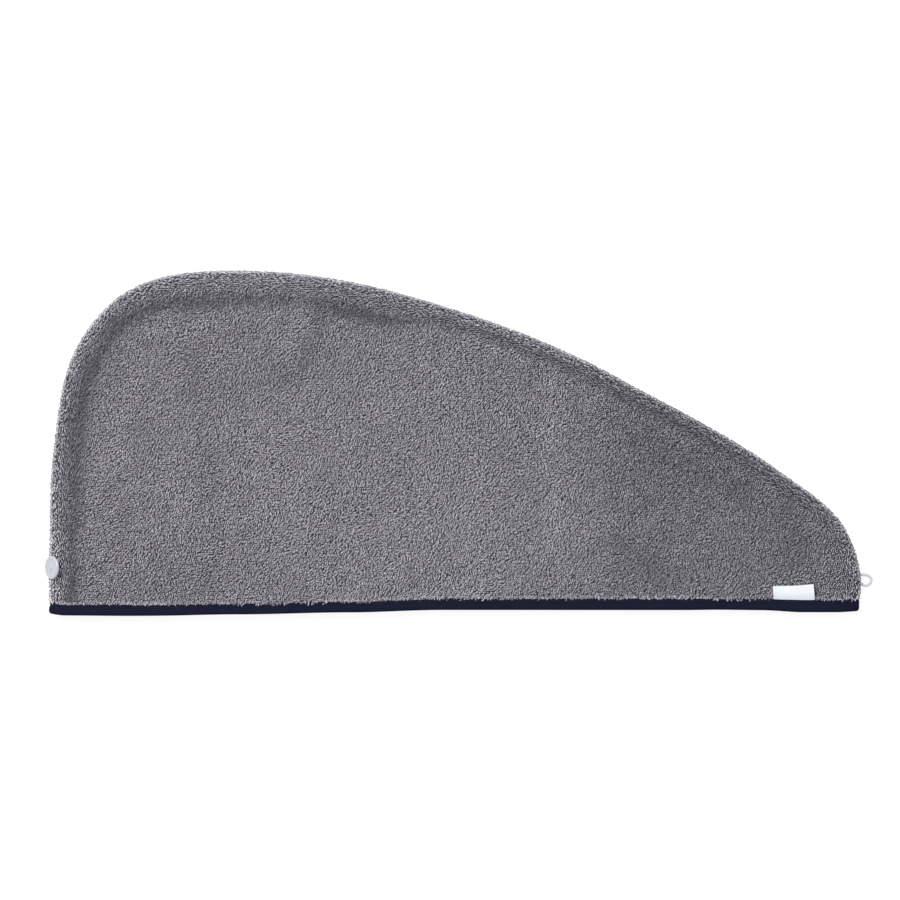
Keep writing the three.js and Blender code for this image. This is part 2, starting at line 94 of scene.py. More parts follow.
class Paint:
    def __init__(self, name, fixed):
        self.material = bpy.data.materials.new(name)
        self.material.use_nodes = True
        self.tree = self.material.node_tree
        self.shader = self.tree.nodes["Principled BSDF"]
        self.feed(self.shader, fixed)

    def feed(self, node, values):
        for key, value in values.items():
            if isinstance(value, Wire):
                self.tree.links.new(value.socket, node.inputs[key])
            else:
                node.inputs[key].default_value = value

    def node(self, kind, settings=None, values=None, out=0):
        made = self.tree.nodes.new("ShaderNode" + kind)
        for key, value in (settings or {}).items():
            if key == "stops":
                ramp = made.color_ramp
                while len(ramp.elements) < len(value):
                    ramp.elements.new(1)
                for stop, (place, colour) in zip(ramp.elements, value):
                    stop.position, stop.color = place, colour
            else:
                setattr(made, key, value)
        self.feed(made, values or {})
        return Wire(self, made.outputs[out])

    def mark(self, name, out="Fac"):  # a value that the mesh carries
        return self.node("Attribute", {"attribute_name": name}, out=out)

    def pair(self, name):  # the two numbers that the mesh carries at each corner
        mark = self.mark(name, "Vector")
        return [self.node("SeparateXYZ", {}, {0: mark}, out=part) for part in (0, 1)]

    def plies(self, turns):  # two plies twisted round each other, as slanting ridges along a loop
        run, around = self.pair("ply")
        return (run * turns + around * (2 * math.tau)).ripple()

    def place(self):
        return self.node("TexCoord", out="Object")

    def noise(self, where, scale, detail=3, rough=0.55):
        values = {"Vector": where, "Scale": scale, "Detail": detail, "Roughness": rough}
        return self.node("TexNoise", {}, values)

    def above(self, value, low, high, most, kind="LINEAR"):  # 0 up to the low value, most from the high one
        return self.node("MapRange", {"interpolation_type": kind}, {0: value, 1: low, 2: high, 3: 0.0, 4: most})

    def colours(self, share, first, second, mode="MIX"):
        return self.node("Mix", {"data_type": "RGBA", "blend_type": mode}, {0: share, 6: first, 7: second}, out=2)

    def scaled(self, colour, share):  # a colour made lighter or darker by a value
        grey = self.node("CombineColor", {}, {0: share, 1: share, 2: share})
        return self.colours(1.0, colour, grey, "MULTIPLY")

    def bump(self, height, depth, strength=1.0):
        return self.node("Bump", {}, {"Height": height, "Distance": depth, "Strength": strength})

    def finish(self, colour, roughness, normal=None):
        self.feed(self.shader, {"Base Color": colour, "Roughness": roughness})
        if normal is not None:
            self.feed(self.shader, {"Normal": normal})
        return self.material


def tint(red, green, blue):
    return (red, green, blue, 1.0)


# In the looks, what isn't a colour is a count to the metre, unless a note says otherwise.
terryLook = {
    "yarnDark": tint(0.17, 0.161, 0.187),
    "yarnLight": tint(0.82, 0.785, 0.865),
    # painted highlight on the tops of the loops
    "yarnTipHighlight": tint(0.94, 0.915, 0.975),
    "foot": 0.16,  # painted shade: how light a loop is where it leaves the ground
    "fibres": 2600,
    "clumps": 1050,
    "plyTurns": 16,  # radians along a loop
    "plyDepth": 0.00025,  # metres, as every depth
    # painted shade: the ground cloth is darkened to stand for the shadow between the loops
    "shadedGround": tint(0.042, 0.040, 0.047),
    "groundLight": tint(0.145, 0.138, 0.159),
    "groundTurn": -52,  # degrees
    "groundRows": 300,
    "groundThreads": 1500,
    "groundDepth": 0.0009,
    "patches": 14,  # soft lighter and darker areas
    "patchDepth": 0.12,  # a share
}


def shadeOfPlace(paint, where):
    patches = paint.noise(where, terryLook["patches"], 4, 0.6)
    return 1 + (patches - 0.5) * terryLook["patchDepth"] * 2


def makeYarn():
    paint = Paint("terry loops", {"Sheen Weight": 0.05, "Sheen Roughness": 0.5, "Specular IOR Level": 0.12})
    where = paint.place()
    tone, rise = paint.mark("tone"), paint.mark("rise")
    fibres = paint.noise(where, terryLook["fibres"], 3, 0.7)
    clumps = paint.noise(where, terryLook["clumps"], 2, 0.6)
    body = paint.colours(tone * (0.84 + fibres * 0.32), terryLook["yarnDark"], terryLook["yarnLight"])
    # painted highlight on the loops' tops
    tipHighlight = paint.above(rise * (0.6 + tone * 0.55), 0.75, 1.15, 0.85, "SMOOTHSTEP")
    body = paint.colours(tipHighlight, body, terryLook["yarnTipHighlight"])
    # painted shade: each loop darkens towards its feet
    depth = terryLook["foot"] + (1 - terryLook["foot"]) * rise ** 1.25
    body = paint.scaled(body, depth * shadeOfPlace(paint, where) * (0.37 + clumps * 1.34))
    ridges = paint.plies(terryLook["plyTurns"]) * 0.8 + fibres * 0.5
    return paint.finish(body, 0.9 + clumps * 0.1, paint.bump(ridges, terryLook["plyDepth"], 0.8))


def makeShadedGround():
    paint = Paint("terry ground weave", {"Sheen Weight": 0.05, "Specular IOR Level": 0.1})
    where = paint.place()
    turn = (0, 0, math.radians(terryLook["groundTurn"]))
    lie = {"Vector": where, "Rotation": turn, "Scale": (1.0, 2.1, 1.0)}
    turned = paint.node("Mapping", {"vector_type": "POINT"}, lie)
    rows = paint.node("TexVoronoi", {"feature": "F1"}, {"Vector": turned, "Scale": terryLook["groundRows"]})
    crowns = paint.node("ValToRGB", {"stops": [(0.0, tint(1, 1, 1)), (0.75, tint(0, 0, 0))]}, {0: rows})
    share = paint.node("SeparateColor", {}, {0: crowns})
    threads = paint.noise(where, terryLook["groundThreads"], 3, 0.7)
    # painted shade: the ground is darkened as the shadow between the loops
    body = paint.colours(share, terryLook["shadedGround"], terryLook["groundLight"])
    body = paint.scaled(body, (0.7 + threads * 0.4) * shadeOfPlace(paint, where))
    normal = paint.bump(share + threads * 0.4, terryLook["groundDepth"], 0.9)
    return paint.finish(body, 0.92 + threads * 0.08, normal)


tapeLook = {
    "navy": tint(0.0001, 0.0002, 0.0035),
    "worn": tint(0.029, 0.034, 0.071),
    "fleck": tint(0.05, 0.058, 0.10),
    "lines": 400,  # twill lines along the tape
    "slope": 1.15,  # of the lines
    "threads": 1400,  # over each line
    "lint": 2400,
    "depth": 0.00028,
    "stitchDark": tint(0.001, 0.002, 0.009),
    "stitchLight": tint(0.010, 0.012, 0.030),
    "stitchTurns": 24,  # radians along a stitch
    "stitchLint": 3000,
    "stitchDepth": 0.0001,
}


def makeTwill():
    paint = Paint("navy twill tape", {"Specular IOR Level": 0.03})
    where = paint.place()
    along, across = paint.pair("run")
    drift = paint.noise(where, 90, 2, 0.5)  # the lines aren't quite straight
    lines = ((along - across * tapeLook["slope"]) * (tapeLook["lines"] * math.tau) + drift * 2.4).ripple()
    cross = ((along * 0.4 - across) * (tapeLook["threads"] * math.tau)).ripple()
    lint = paint.noise(where, tapeLook["lint"], 4, 0.75)
    broad = paint.noise(where, 35, 3, 0.6)
    share = lines ** 2 * 0.85 * (0.6 + cross * 0.4) + (lint - 0.5) * 0.5
    body = paint.colours(share, tapeLook["navy"], tapeLook["worn"])
    body = paint.colours(paint.above(lint, 0.68, 0.8, 0.5), body, tapeLook["fleck"])
    body = paint.scaled(body, 0.66 + broad * 0.5)
    normal = paint.bump(lines * (0.7 + cross * 0.3) + lint * 0.25, tapeLook["depth"], 0.85)
    return paint.finish(body, 0.72 + lines * 0.14, normal)


def makeThread():
    paint = Paint("navy thread", {"Specular IOR Level": 0.1})
    plies = paint.plies(tapeLook["stitchTurns"])
    lint = paint.noise(paint.place(), tapeLook["stitchLint"], 2, 0.7)
    body = paint.colours(plies * 0.6 + lint * 0.4, tapeLook["stitchDark"], tapeLook["stitchLight"])
    return paint.finish(body, 0.5 + lint * 0.2, paint.bump(plies, tapeLook["stitchDepth"], 0.8))


buttonLook = {
    "pale": tint(0.34, 0.355, 0.39),
    "cloudy": tint(0.30, 0.315, 0.355),
    "clouds": 240,
    "scuffs": 1900,
    "depth": 0.00012,
}


def makeGloss():
    paint = Paint("pale button plastic", {"Coat Weight": 0.5, "Coat Roughness": 0.12, "Specular IOR Level": 0.5})
    where = paint.place()
    clouds = paint.noise(where, buttonLook["clouds"], 4, 0.6)
    scuffs = paint.noise(where, buttonLook["scuffs"], 3, 0.8)
    body = paint.colours(clouds, buttonLook["cloudy"], buttonLook["pale"])
    rubbed = paint.above(scuffs, 0.5, 0.75, 1.0)
    normal = paint.bump(clouds * 0.5 + scuffs * 0.08, buttonLook["depth"], 0.5)
    return paint.finish(body, 0.24 + rubbed * 0.12 + clouds * 0.06, normal)


elasticLook = {
    "dark": tint(0.315, 0.33, 0.375),
    "light": tint(0.50, 0.515, 0.555),
    "braid": 900,
    "strands": 4,  # each way round the cord
    "fuzz": 2600,
    "depth": 0.0002,
}


def makeBraid():
    paint = Paint("braided elastic", {"Sheen Weight": 0.2, "Specular IOR Level": 0.35})
    along, around = paint.pair("run")
    run, turn = along * (elasticLook["braid"] * math.tau), around * (elasticLook["strands"] * math.tau)
    braid = (run + turn).ripple().most((run - turn).ripple())
    fuzz = paint.noise(paint.place(), elasticLook["fuzz"], 3, 0.7)
    body = paint.colours(braid * 0.75 + fuzz * 0.25, elasticLook["dark"], elasticLook["light"])
    return paint.finish(body, 0.7 + fuzz * 0.2, paint.bump(braid + fuzz * 0.3, elasticLook["depth"], 0.9))


labelLook = {
    "dark": tint(0.47, 0.485, 0.53),
    "light": tint(0.655, 0.66, 0.685),
    "weft": 2200,
    "warp": (2600, 1100),  # along and across
    "lint": 1700,
    "clouds": 110,
    "depth": 0.00012,
}


def makeSatin():
    paint = Paint("woven label", {"Sheen Weight": 0.15, "Specular IOR Level": 0.4})
    along, across = paint.pair("run")
    warpAlong, warpAcross = labelLook["warp"]
    weft = (across * (labelLook["weft"] * math.tau)).ripple()
    warp = (along * (warpAlong * math.tau) + across * (warpAcross * math.tau)).ripple()
    where = paint.place()
    lint = paint.noise(where, labelLook["lint"], 3, 0.7)
    clouds = paint.noise(where, labelLook["clouds"], 3, 0.5)
    body = paint.colours(weft * 0.35 + warp * 0.25 + lint * 0.4, labelLook["dark"], labelLook["light"])
    body = paint.scaled(body, 0.92 + clouds * 0.14)
    normal = paint.bump(weft * 0.5 + warp * 0.4 + lint * 0.3, labelLook["depth"], 0.7)
    return paint.finish(body, 0.55 + lint * 0.25, normal)


looks = {
    "yarn": makeYarn(),
    "shadedGround": makeShadedGround(),
    "twill": makeTwill(),
    "gloss": makeGloss(),
    "braid": makeBraid(),
    "satin": makeSatin(),
    "thread": makeThread(),
}
print("materials made")

# the cloth's own lines
towel = {
    "length": 650,
    "width": 274,
    "centre": (328.59, 136.39),  # of the outer box, where the frame has its origin
    "terry": 3,  # the cloth with its pile
    "pressed": 2,  # the cloth inside the tape
    "pile": 1.5,  # the loops stand this high over the ground cloth
    "backPile": 1.1,
    "foldGap": 1.3,
    "seamGap": 0.15,  # from either panel to the level of the seam
    "allowance": 12,
    "ridge": 2,
    "valley": 10,
    "valleyDepth": 2.4,
    "field": 20,
    "fieldDrop": 0.4,
    "creaseDepth": 1.4,
    "creaseSpread": 13,
    "tape": 8.5,
    "hemFoot": 1.3,
    "hemStart": 0.3,  # above the tape's edge
    "hemFade": 6,
    "hemRadius": 6.0,
    "bow": 3.2,
    "bowFrom": 18,
    "bowFade": 60,
    # size, reach along the seam and fade, at the crown end and at the tail
    "puffs": ((0.9, 75, 55), (1.2, 38, 28)),
}
seamLevel = 2 * towel["terry"] + towel["foldGap"]

# along, across, heading
seamLine = [
    (0.002, 0, 90), (0.002, 0.34, 88.5), (0.014, 0.62, 82), (0.078, 0.908, 41), (0.228, 1, 0),
    (0.43, 0.935, -15.5), (0.7, 0.688, -29), (0.9, 0.413, -36.5), (0.984, 0.232, -64), (1, 0.085, -90),
    (0.998, 0.042, -90), (0.998, 0, -90),
]
# along the seam, width and depth of the thick rim
rimShape = [(0, 0.95, 0.7), (0.12, 1, 1), (0.42, 1, 1), (0.55, 0.75, 0.8), (0.86, 0.75, 0.7), (1, 0.9, 0.35)]
# along the mouth, its rise and the tape's width
mouthShape = [
    (0, 0, 0.9), (0.02, -0.38, 0.94), (0.07, -0.38, 0.95), (0.14, -0.38, 0.9), (0.235, -0.12, 0.94),
    (0.37, 0.38, 0.95), (0.485, 1, 0.98), (0.81, 1, 1), (0.877, 0.75, 1.08), (0.93, 0.25, 1.18),
    (0.97, 0.25, 1.15), (1, 0.5, 1.1),
]
# from, to, depth, spread
creases = [
    (0.337, 0.86, 0.322, 0.76, 0.8, 0.5), (0.322, 0.76, 0.272, 0.67, 0.7, 0.55), (0.31, 0.86, 0.29, 0.8, -0.5, 0.8),
    (0.352, 0.9, 0.392, 0.885, 0.7, 0.8), (0.178, 0.75, 0.178, 0.63, 0.5, 1), (0.203, 0.5, 0.2, 0.38, 0.7, 0.9),
    (0.112, 0.55, 0.111, 0.44, 0.6, 1), (0.106, 0.33, 0.088, 0.2, 0.5, 1), (0.147, 0.15, 0.19, 0.1, 0.5, 0.9),
    (0.081, 0.57, 0.081, 0.45, -0.5, 0.9), (0.622, 0.67, 0.62, 0.22, -0.6, 0.7), (0.699, 0.21, 0.757, 0.1, 0.7, 0.8),
    (0.723, 0.54, 0.76, 0.46, 0.5, 1), (0.858, 0.36, 0.795, 0.44, 0.6, 1), (0.91, 0.35, 0.924, 0.17, 0.8, 1),
]


def onTowel(along, across):  # a place given as shares of the length and the width
    return np.array([along * towel["length"], across * towel["width"]])


def heading(degrees):
    return np.array([math.cos(math.radians(degrees)), math.sin(math.radians(degrees))])


def drawSeam(step, fine=200):
    spots = []
    for (along0, across0, turn0), (along1, across1, turn1) in zip(seamLine, seamLine[1:]):
        start, end = onTowel(along0, across0), onTowel(along1, across1)
        handle = np.hypot(*(end - start)) / (3 * math.cos(math.radians(turn0 - turn1) / 4) ** 2)
        t = np.linspace(0, 1, fine, endpoint=False)[:, None]
        spots.append((1 - t) ** 3 * start + 3 * (1 - t) ** 2 * t * (start + handle * heading(turn0))
                     + 3 * (1 - t) * t ** 2 * (end - handle * heading(turn1)) + t ** 3 * end)
    spots = np.concatenate([*spots, end[None]])
    runs = np.concatenate([[0], np.cumsum(np.hypot(*np.diff(spots, axis=0).T))])
    at = np.linspace(0, runs[-1], int(runs[-1] / step) + 1)
    line = np.column_stack([np.interp(at, runs, spots[:, k]) for k in (0, 1)])
    way = unit(np.gradient(line, axis=0))
    inward = np.column_stack([way[:, 1], -way[:, 0]])
    return {"run": at, "spot": line, "way": way, "inward": inward, "length": runs[-1]}


seam = drawSeam(1.0)
crownEnd, tailEnd = seam["spot"][0, 0], seam["spot"][-1, 0]


def seamAt(run):  # the point, direction and inward direction of the seam line at a distance along it
    return [np.column_stack([np.interp(run, seam["run"], seam[key][:, k]) for k in (0, 1)])
            for key in ("spot", "way", "inward")]


def stepIn(spots, inwards, inset):  # places this far inside points of the seam line
    return spots[:, 0] + inwards[:, 0] * inset, spots[:, 1] + inwards[:, 1] * inset


def nearSeam(x, y, batch=3000):  # how far inside the seam line, and which of its points is nearest
    inset, index = np.empty(len(x)), np.empty(len(x), int)
    for start in range(0, len(x), batch):
        part = slice(start, start + batch)
        gaps = np.hypot(x[part, None] - seam["spot"][:, 0], y[part, None] - seam["spot"][:, 1])
        index[part] = gaps.argmin(1)
        inset[part] = gaps.min(1)
    towards = np.column_stack([x, y]) - seam["spot"][index]
    return inset * np.sign((towards * seam["inward"][index]).sum(1) + 1e-9), index


def tapeReach(x):
    return towel["tape"] * atPlace(mouthShape, x / towel["length"], 2)


def lifted(x, y):  # the bow of the mouth fades over the cloth above it
    bow = towel["bow"] * atPlace(mouthShape, x / towel["length"], 1)
    return y + bow * np.clip(1 - (y - towel["bowFrom"]) / towel["bowFade"], 0, 1)


def creaseAt(x, y):
    total = np.zeros(len(x))
    for along0, across0, along1, across1, depth, spread in creases:
        start = onTowel(along0, across0)
        line = onTowel(along1, across1) - start
        share = np.clip(((x - start[0]) * line[0] + (y - start[1]) * line[1]) / (line @ line), 0, 1)
        away = np.hypot(x - start[0] - share * line[0], y - start[1] - share * line[1])
        total += depth * towel["creaseDepth"] * hill(away, spread * towel["creaseSpread"])
    return total


def pastTape(x, y):  # 0 at the tape's edge, 1 where the hem has faded out
    return (y - tapeReach(x) - towel["hemStart"]) / towel["hemFade"]


def squeezeAt(x, y):  # 1 inside the tape, 0 where the terry is free of it
    return 1 - smooth(np.clip(pastTape(x, y), 0, 1) ** 0.63)


def seamSqueeze(spots, runs):  # the same for points of the rim, which run up from the tape at both ends
    return squeezeAt(spots[:, 0], np.minimum(runs, seam["length"] - runs))


def puffAt(run, squeeze):  # how much further out the rim stands near its two ends, above the tape
    total = np.zeros(len(run))
    for (size, reach, fade), away in zip(towel["puffs"], (run, seam["length"] - run)):
        total += size * smooth((reach - away) / fade)
    return total * (1 - squeeze) ** 0.6


def heightAt(x, y, side):  # of a panel's outer face over the seam's level, where it lies flat
    free = np.full(len(x), seamLevel)
    if side > 0:
        inset, index = nearSeam(x, y)
        share = seam["run"][index] / seam["length"]
        width = atPlace(rimShape, share, 1)
        depth = towel["valleyDepth"] * atPlace(rimShape, share, 2)
        ridge = (towel["allowance"] + towel["ridge"]) * width
        valley = ridge + towel["valley"] * width
        down = smooth((inset - ridge) / (valley - ridge))
        up = smooth((inset - valley) / (towel["field"] * width))
        free = seamLevel - depth * down + (depth - towel["fieldDrop"]) * up
        free -= np.clip(inset / seamLevel - 1, 0, 1) * creaseAt(x, y)
    return blend(free, towel["hemRadius"], squeezeAt(x, y))


def pileOn(side):
    return towel["pile"] if side > 0 else towel["backPile"]


def groundAt(x, y, side):  # the ground cloth, which the loops stand on
    return heightAt(x, y, side) - pileOn(side) * (1 - squeezeAt(x, y))


def insideAt(x, y, side):  # the panel's inner face
    return heightAt(x, y, side) - blend(towel["terry"], towel["pressed"], squeezeAt(x, y))


def cornersOf(grid):  # the four corners of each cell
    return np.stack([grid[:-1, :-1], grid[1:, :-1], grid[1:, 1:], grid[:-1, 1:]], 2)


def sheetFaces(rows, columns, closedRows=False, closedColumns=False):  # quads of a grid of points
    index = np.arange(rows * columns).reshape(rows, columns)
    if closedRows:
        index = np.concatenate([index, index[:1]])
    if closedColumns:
        index = np.concatenate([index, index[:, :1]], 1)
    return cornersOf(index).reshape(-1, 4)


def addPiece(name, points, faces, look, marks=None, cells=None):
    mesh = bpy.data.meshes.new(name)
    points = (np.asarray(points, float) - [*towel["centre"], 0]) / 1000
    corners = np.concatenate([part.ravel() for part in faces])
    sizes = np.concatenate([np.full(len(part), part.shape[1]) for part in faces])
    mesh.vertices.add(len(points))
    mesh.vertices.foreach_set("co", points.astype(np.float32).ravel())
    mesh.loops.add(len(corners))
    mesh.loops.foreach_set("vertex_index", corners.astype(np.int32))
    mesh.polygons.add(len(sizes))
    mesh.polygons.foreach_set("loop_start", np.concatenate([[0], np.cumsum(sizes)[:-1]]).astype(np.int32))
    for key, (domain, values) in (marks or {}).items():
        values = np.asarray(values, np.float32)
        kind, field = ("FLOAT", "value") if values.ndim == 1 else ("FLOAT_VECTOR", "vector")
        mesh.attributes.new(key, kind, domain).data.foreach_set(field, values.ravel())
    if cells is not None:  # each loop has a small cell of the map to itself
        mesh.uv_layers.new(name="OFBake").data.foreach_set("uv", cells.astype(np.float32).ravel())
    mesh.update(calc_edges=True)
    mesh.shade_smooth()
    mesh.materials.append(looks[look])
    piece = bpy.data.objects.new(name, mesh)
    bpy.context.scene.collection.objects.link(piece)
    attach(piece, "root")
    return piece


def addSolid(name, node, points, faces, look, slot, marks=None, weld=0):  # a closed piece that stands for a CAD node
    piece = addPiece(name, points, faces, look, marks)
    shape = bmesh.new()
    shape.from_mesh(piece.data)
    if weld:  # joins points that share a place
        bmesh.ops.remove_doubles(shape, verts=shape.verts, dist=weld)
    bmesh.ops.recalc_face_normals(shape, faces=shape.faces)
    shape.to_mesh(piece.data)
    shape.free()
    piece.data.shade_smooth()
    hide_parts(node)
    return piece


# the two panels
skin = {
    "spacing": 4,
    "rowShare": 0.87,  # of the spacing, from row to row of the middle's points
    "rollSteps": 8,
    "hemRuns": (5, 8, 9.5, 11, 12.5, 14.5, 17),  # along the seam, close above the tape
    "evenFrom": 20,
    "flats": (9.5, 12, 14.5),  # rows past the roll, before the even sheet of the middle begins
    "nearTape": (0.0, 1.2, 2.4, 3.8, 5.4, 7.5),
    "middleFrom": 12,  # above the tape
    "weld": 0.00003,  # metres
}


def roll(angle, radius):
    return seamLevel - radius * np.cos(angle), towel["seamGap"] + (radius - towel["seamGap"]) * np.sin(angle)


def rimRows(side, runs):  # rows of points from the middle's edge, round the rim and back along the inside
    spots, _, inwards = seamAt(runs)
    squeeze = seamSqueeze(spots, runs)
    puff = puffAt(runs, squeeze)
    steps = np.radians(np.linspace(0, 90, skin["rollSteps"] + 1))
    rows = []

    def row(inset, height):
        x, y = stepIn(spots, inwards, inset)
        rows.append(np.column_stack([x, y, np.broadcast_to(height, x.shape)]))

    for inset in reversed(skin["flats"]):
        row(inset, groundAt(*stepIn(spots, inwards, inset), side))
    for angle in reversed(steps):
        inset, height = roll(angle, blend(seamLevel - pileOn(side), towel["hemRadius"], squeeze))
        row(inset - puff * math.cos(angle), height)
    half = len(rows)
    inner = blend(seamLevel - towel["terry"], towel["hemRadius"] - towel["pressed"], squeeze)
    flap = 1 - squeeze  # inside, the seam allowance is turned back as a flap under the rim
    row(blend(roll(0, inner)[0], towel["allowance"], flap), towel["seamGap"])
    inset, height = roll(steps[1], inner)
    row(blend(inset, towel["allowance"], flap), blend(height, towel["seamGap"] + towel["terry"] * 0.8, flap))
    for angle in steps[2:]:
        inset, height = roll(angle, inner)
        row(inset, np.maximum(height, (towel["seamGap"] + towel["terry"]) * flap))
    for inset in skin["flats"]:
        row(inset, insideAt(*stepIn(spots, inwards, inset), side))
    return np.stack(rows, 1), half


def evenSheet(edge):  # points and triangles of the middle inside the rim's last row, and the points of its foot
    x0, x1 = edge[0, 0], edge[-1, 0]
    foot = np.linspace(x1, x0, int((x1 - x0) / skin["spacing"]) + 1)[1:-1]
    loop = np.concatenate([edge, np.column_stack([foot, np.full(len(foot), towel["hemFoot"])])])
    xs = np.arange(x0 + 3, x1 - 2, skin["spacing"])
    low = [np.column_stack([xs, tapeReach(xs) + up]) for up in skin["nearTape"]]
    ys = np.arange(towel["tape"] + skin["middleFrom"], towel["width"], skin["spacing"] * skin["rowShare"])
    gridX, gridY = np.meshgrid(np.arange(x0, x1, skin["spacing"]), ys)
    gridX = gridX + (np.arange(len(gridX)) % 2)[:, None] * skin["spacing"] / 2
    inside = np.concatenate([*low, np.column_stack([gridX.ravel(), gridY.ravel()])])
    inset, _ = nearSeam(inside[:, 0], inside[:, 1])
    inside = inside[(inset > skin["flats"][-1] + 2) & (inside[:, 1] > towel["hemFoot"] + 1)]
    edges = [(k, (k + 1) % len(loop)) for k in range(len(loop))]
    spots = [Vector(spot) for spot in np.concatenate([loop, inside])]
    found, _, triangles, _, _, _ = delaunay_2d_cdt(spots, edges, [], 1, 1e-4)
    found = np.array([tuple(spot) for spot in found])
    ends = np.concatenate([loop[len(edge) - 1:], loop[:1]])
    foot = np.hypot(found[None, :, 0] - ends[:, None, 0], found[None, :, 1] - ends[:, None, 1]).argmin(1)
    return found, np.array(triangles), foot


def makeSkin(name, side, node):
    hem = np.array([towel["hemFoot"], *skin["hemRuns"]])
    even = np.linspace(skin["evenFrom"], seam["length"] - skin["evenFrom"], int(seam["length"] / skin["spacing"]))
    rim, half = rimRows(side, np.concatenate([hem, even, seam["length"] - hem[::-1]]))
    count, rows = rim.shape[:2]
    faces = [sheetFaces(count, rows)]
    turn = np.arange(half - 1)
    for station, order in ((0, 1), (count - 1, -1)):  # the rim's two ends, down in the tape
        first, last = station * rows + turn, (station + 1) * rows - 1 - turn
        faces.append(np.stack([last - 1, last, first, first + 1], -1)[:, ::order])
    found, triangles, foot = evenSheet(rim[:, 0, :2])
    above = np.column_stack([found, groundAt(found[:, 0], found[:, 1], side)])
    below = np.column_stack([found, insideAt(found[:, 0], found[:, 1], side)])
    start = count * rows
    under = start + len(found)
    faces += [triangles + start, triangles[:, ::-1] + under]
    # the foot of the hem, inside the tape's fold
    faces.append(np.stack([foot[:-1] + start, foot[1:] + start, foot[1:] + under, foot[:-1] + under], -1))
    points = np.concatenate([rim.reshape(-1, 3), above, below])
    points[:, 1] = lifted(points[:, 0], points[:, 1])
    points[:, 2] = seamLevel + side * points[:, 2]
    if side < 0:
        faces = [part[:, ::-1] for part in faces]
    return addSolid(name, node, points, faces, "shadedGround", "terry", weld=skin["weld"])


frontSkin = makeSkin("front_skin", 1, "front_panel")
backSkin = makeSkin("back_skin", -1, "back_panel")
print("panels made")

# The looped pile. Sizes that vary from loop to loop are a size and the shares of it that they lie between.
pile = {
    "pitch": (2.0, 1.25),  # along and across the lie of the loops
    "turn": 52,  # degrees from the mouth to the lie of the loops
    "gridReach": 720,
    "jitter": 0.2,  # a share of the pitch across
    "length": (2.3, 0.75, 1.25),
    "thick": (0.41, 0.82, 1.16),
    "rise": (1.5, 0.72, 1.22),
    "bend": 0.3,
    "skew": 0.5,
    "turnSpread": 19,
    "turnWander": 10,
    "tone": 0.63,
    "slopeShade": 0.165,  # painted shade, this much darker towards the tail
    "toneSpread": 0.14,
    "mostTone": 1.1,
    "most": 12000,  # loops in one piece
}
# beside the rim the loops lie pressed, and painted shade makes them darker there: along the seam, how far in, how wide
# and how dark
pressedShadeBand = [
    (0, 17, 5, 0.42), (0.05, 18, 6, 0.38), (0.09, 19, 9, 0.38), (0.16, 18, 9, 0.44), (0.25, 18, 9, 0.43),
    (0.3, 21, 8, 0.44), (0.34, 24, 8, 0.45), (0.42, 22, 8, 0.34), (0.5, 23, 7, 0.37), (0.56, 13, 6, 0.2),
    (0.6, 11, 6, 0.19), (0.7, 11, 6, 0.12), (0.8, 7, 5, 0.2), (0.88, 8, 4, 0.06), (1, 8, 4, 0),
]
# along the seam, how light the loops of the rim are, as painted light and shade
rimLightAndShade = [
    (0, 0.7), (0.06, 0.56), (0.15, 0.48), (0.5, 0.47), (0.6, 0.4), (0.68, 0.37), (0.76, 0.27), (0.86, 0.31),
    (0.93, 0.38), (1, 0.45),
]
# broad areas of painted light and shade on the loops: their middle and size as shares of the cloth, and how much
# lighter
paintedLightAndShade = [
    (0.45, 0.22, 0.2, 0.25, 0.07), (0.3, 0.72, 0.1, 0.1, -0.07), (0.12, 0.3, 0.05, 0.3, 0.03),
    (0.68, 0.52, 0.07, 0.12, -0.08), (0.82, 0.4, 0.1, 0.1, -0.08), (0.73, 0.16, 0.03, 0.1, -0.03),
    (0.46, 0.62, 0.06, 0.05, 0.05), (0.98, 0.06, 0.05, 0.2, 0.04), (0.57, 0.7, 0.07, 0.07, -0.09),
    (0.585, 0.3, 0.04, 0.2, -0.045), (0.3, 0.45, 0.05, 0.12, 0.05), (0.08, 0.08, 0.12, 0.08, -0.05),
    (0.43, 0.83, 0.06, 0.05, -0.06), (0.24, 0.83, 0.06, 0.05, -0.06), (0.1, 0.72, 0.05, 0.12, -0.03),
]
# one loop is a small arch of yarn: two ends in the cloth and two rings of three points
arch = {
    "along": (-1, -0.42, 0.42, 1),
    "up": (-0.2, 0.95, 0.95, -0.2),
    "lean": 0.3,
    "wide": 1.15,  # a ring's width over its height
    "light": (0, 1, 0.25, 0.25, 1, 0.25, 0.25, 0),  # painted light and shade at its eight points: light on top, shaded below and at the feet
    "map": (0, 0.33, 0.67, 1),  # the places of its ends and rings on the map
}


def makeLoops(spots, ups, ways, length, rise, thick, bend, tone, skew):
    count = len(spots)
    ways = unit(ways - ups * (ways * ups).sum(1, keepdims=True))
    sides = np.cross(ways, ups)
    t = np.array(arch["along"], float)
    lean = 1 + skew[:, None] * t * arch["lean"]
    middle = (spots[:, None] + ways[:, None] * (t * length[:, None] / 2)[..., None]
              + ups[:, None] * (np.array(arch["up"]) * lean * rise[:, None])[..., None]
              + sides[:, None] * ((1 - t * t) * bend[:, None])[..., None])
    turns = np.radians([0, 120, 240])[:, None]
    ring = ups[:, None, None] * np.cos(turns) + sides[:, None, None] * np.sin(turns) * arch["wide"]
    body = middle[:, 1:3, None] + ring * thick[:, None, None, None]
    points = np.concatenate([middle[:, :1], body.reshape(count, 6, 3), middle[:, 3:]], 1)
    return points.reshape(-1, 3), {"tone": np.repeat(tone, 8), "rise": np.tile(np.array(arch["light"], float), count)}


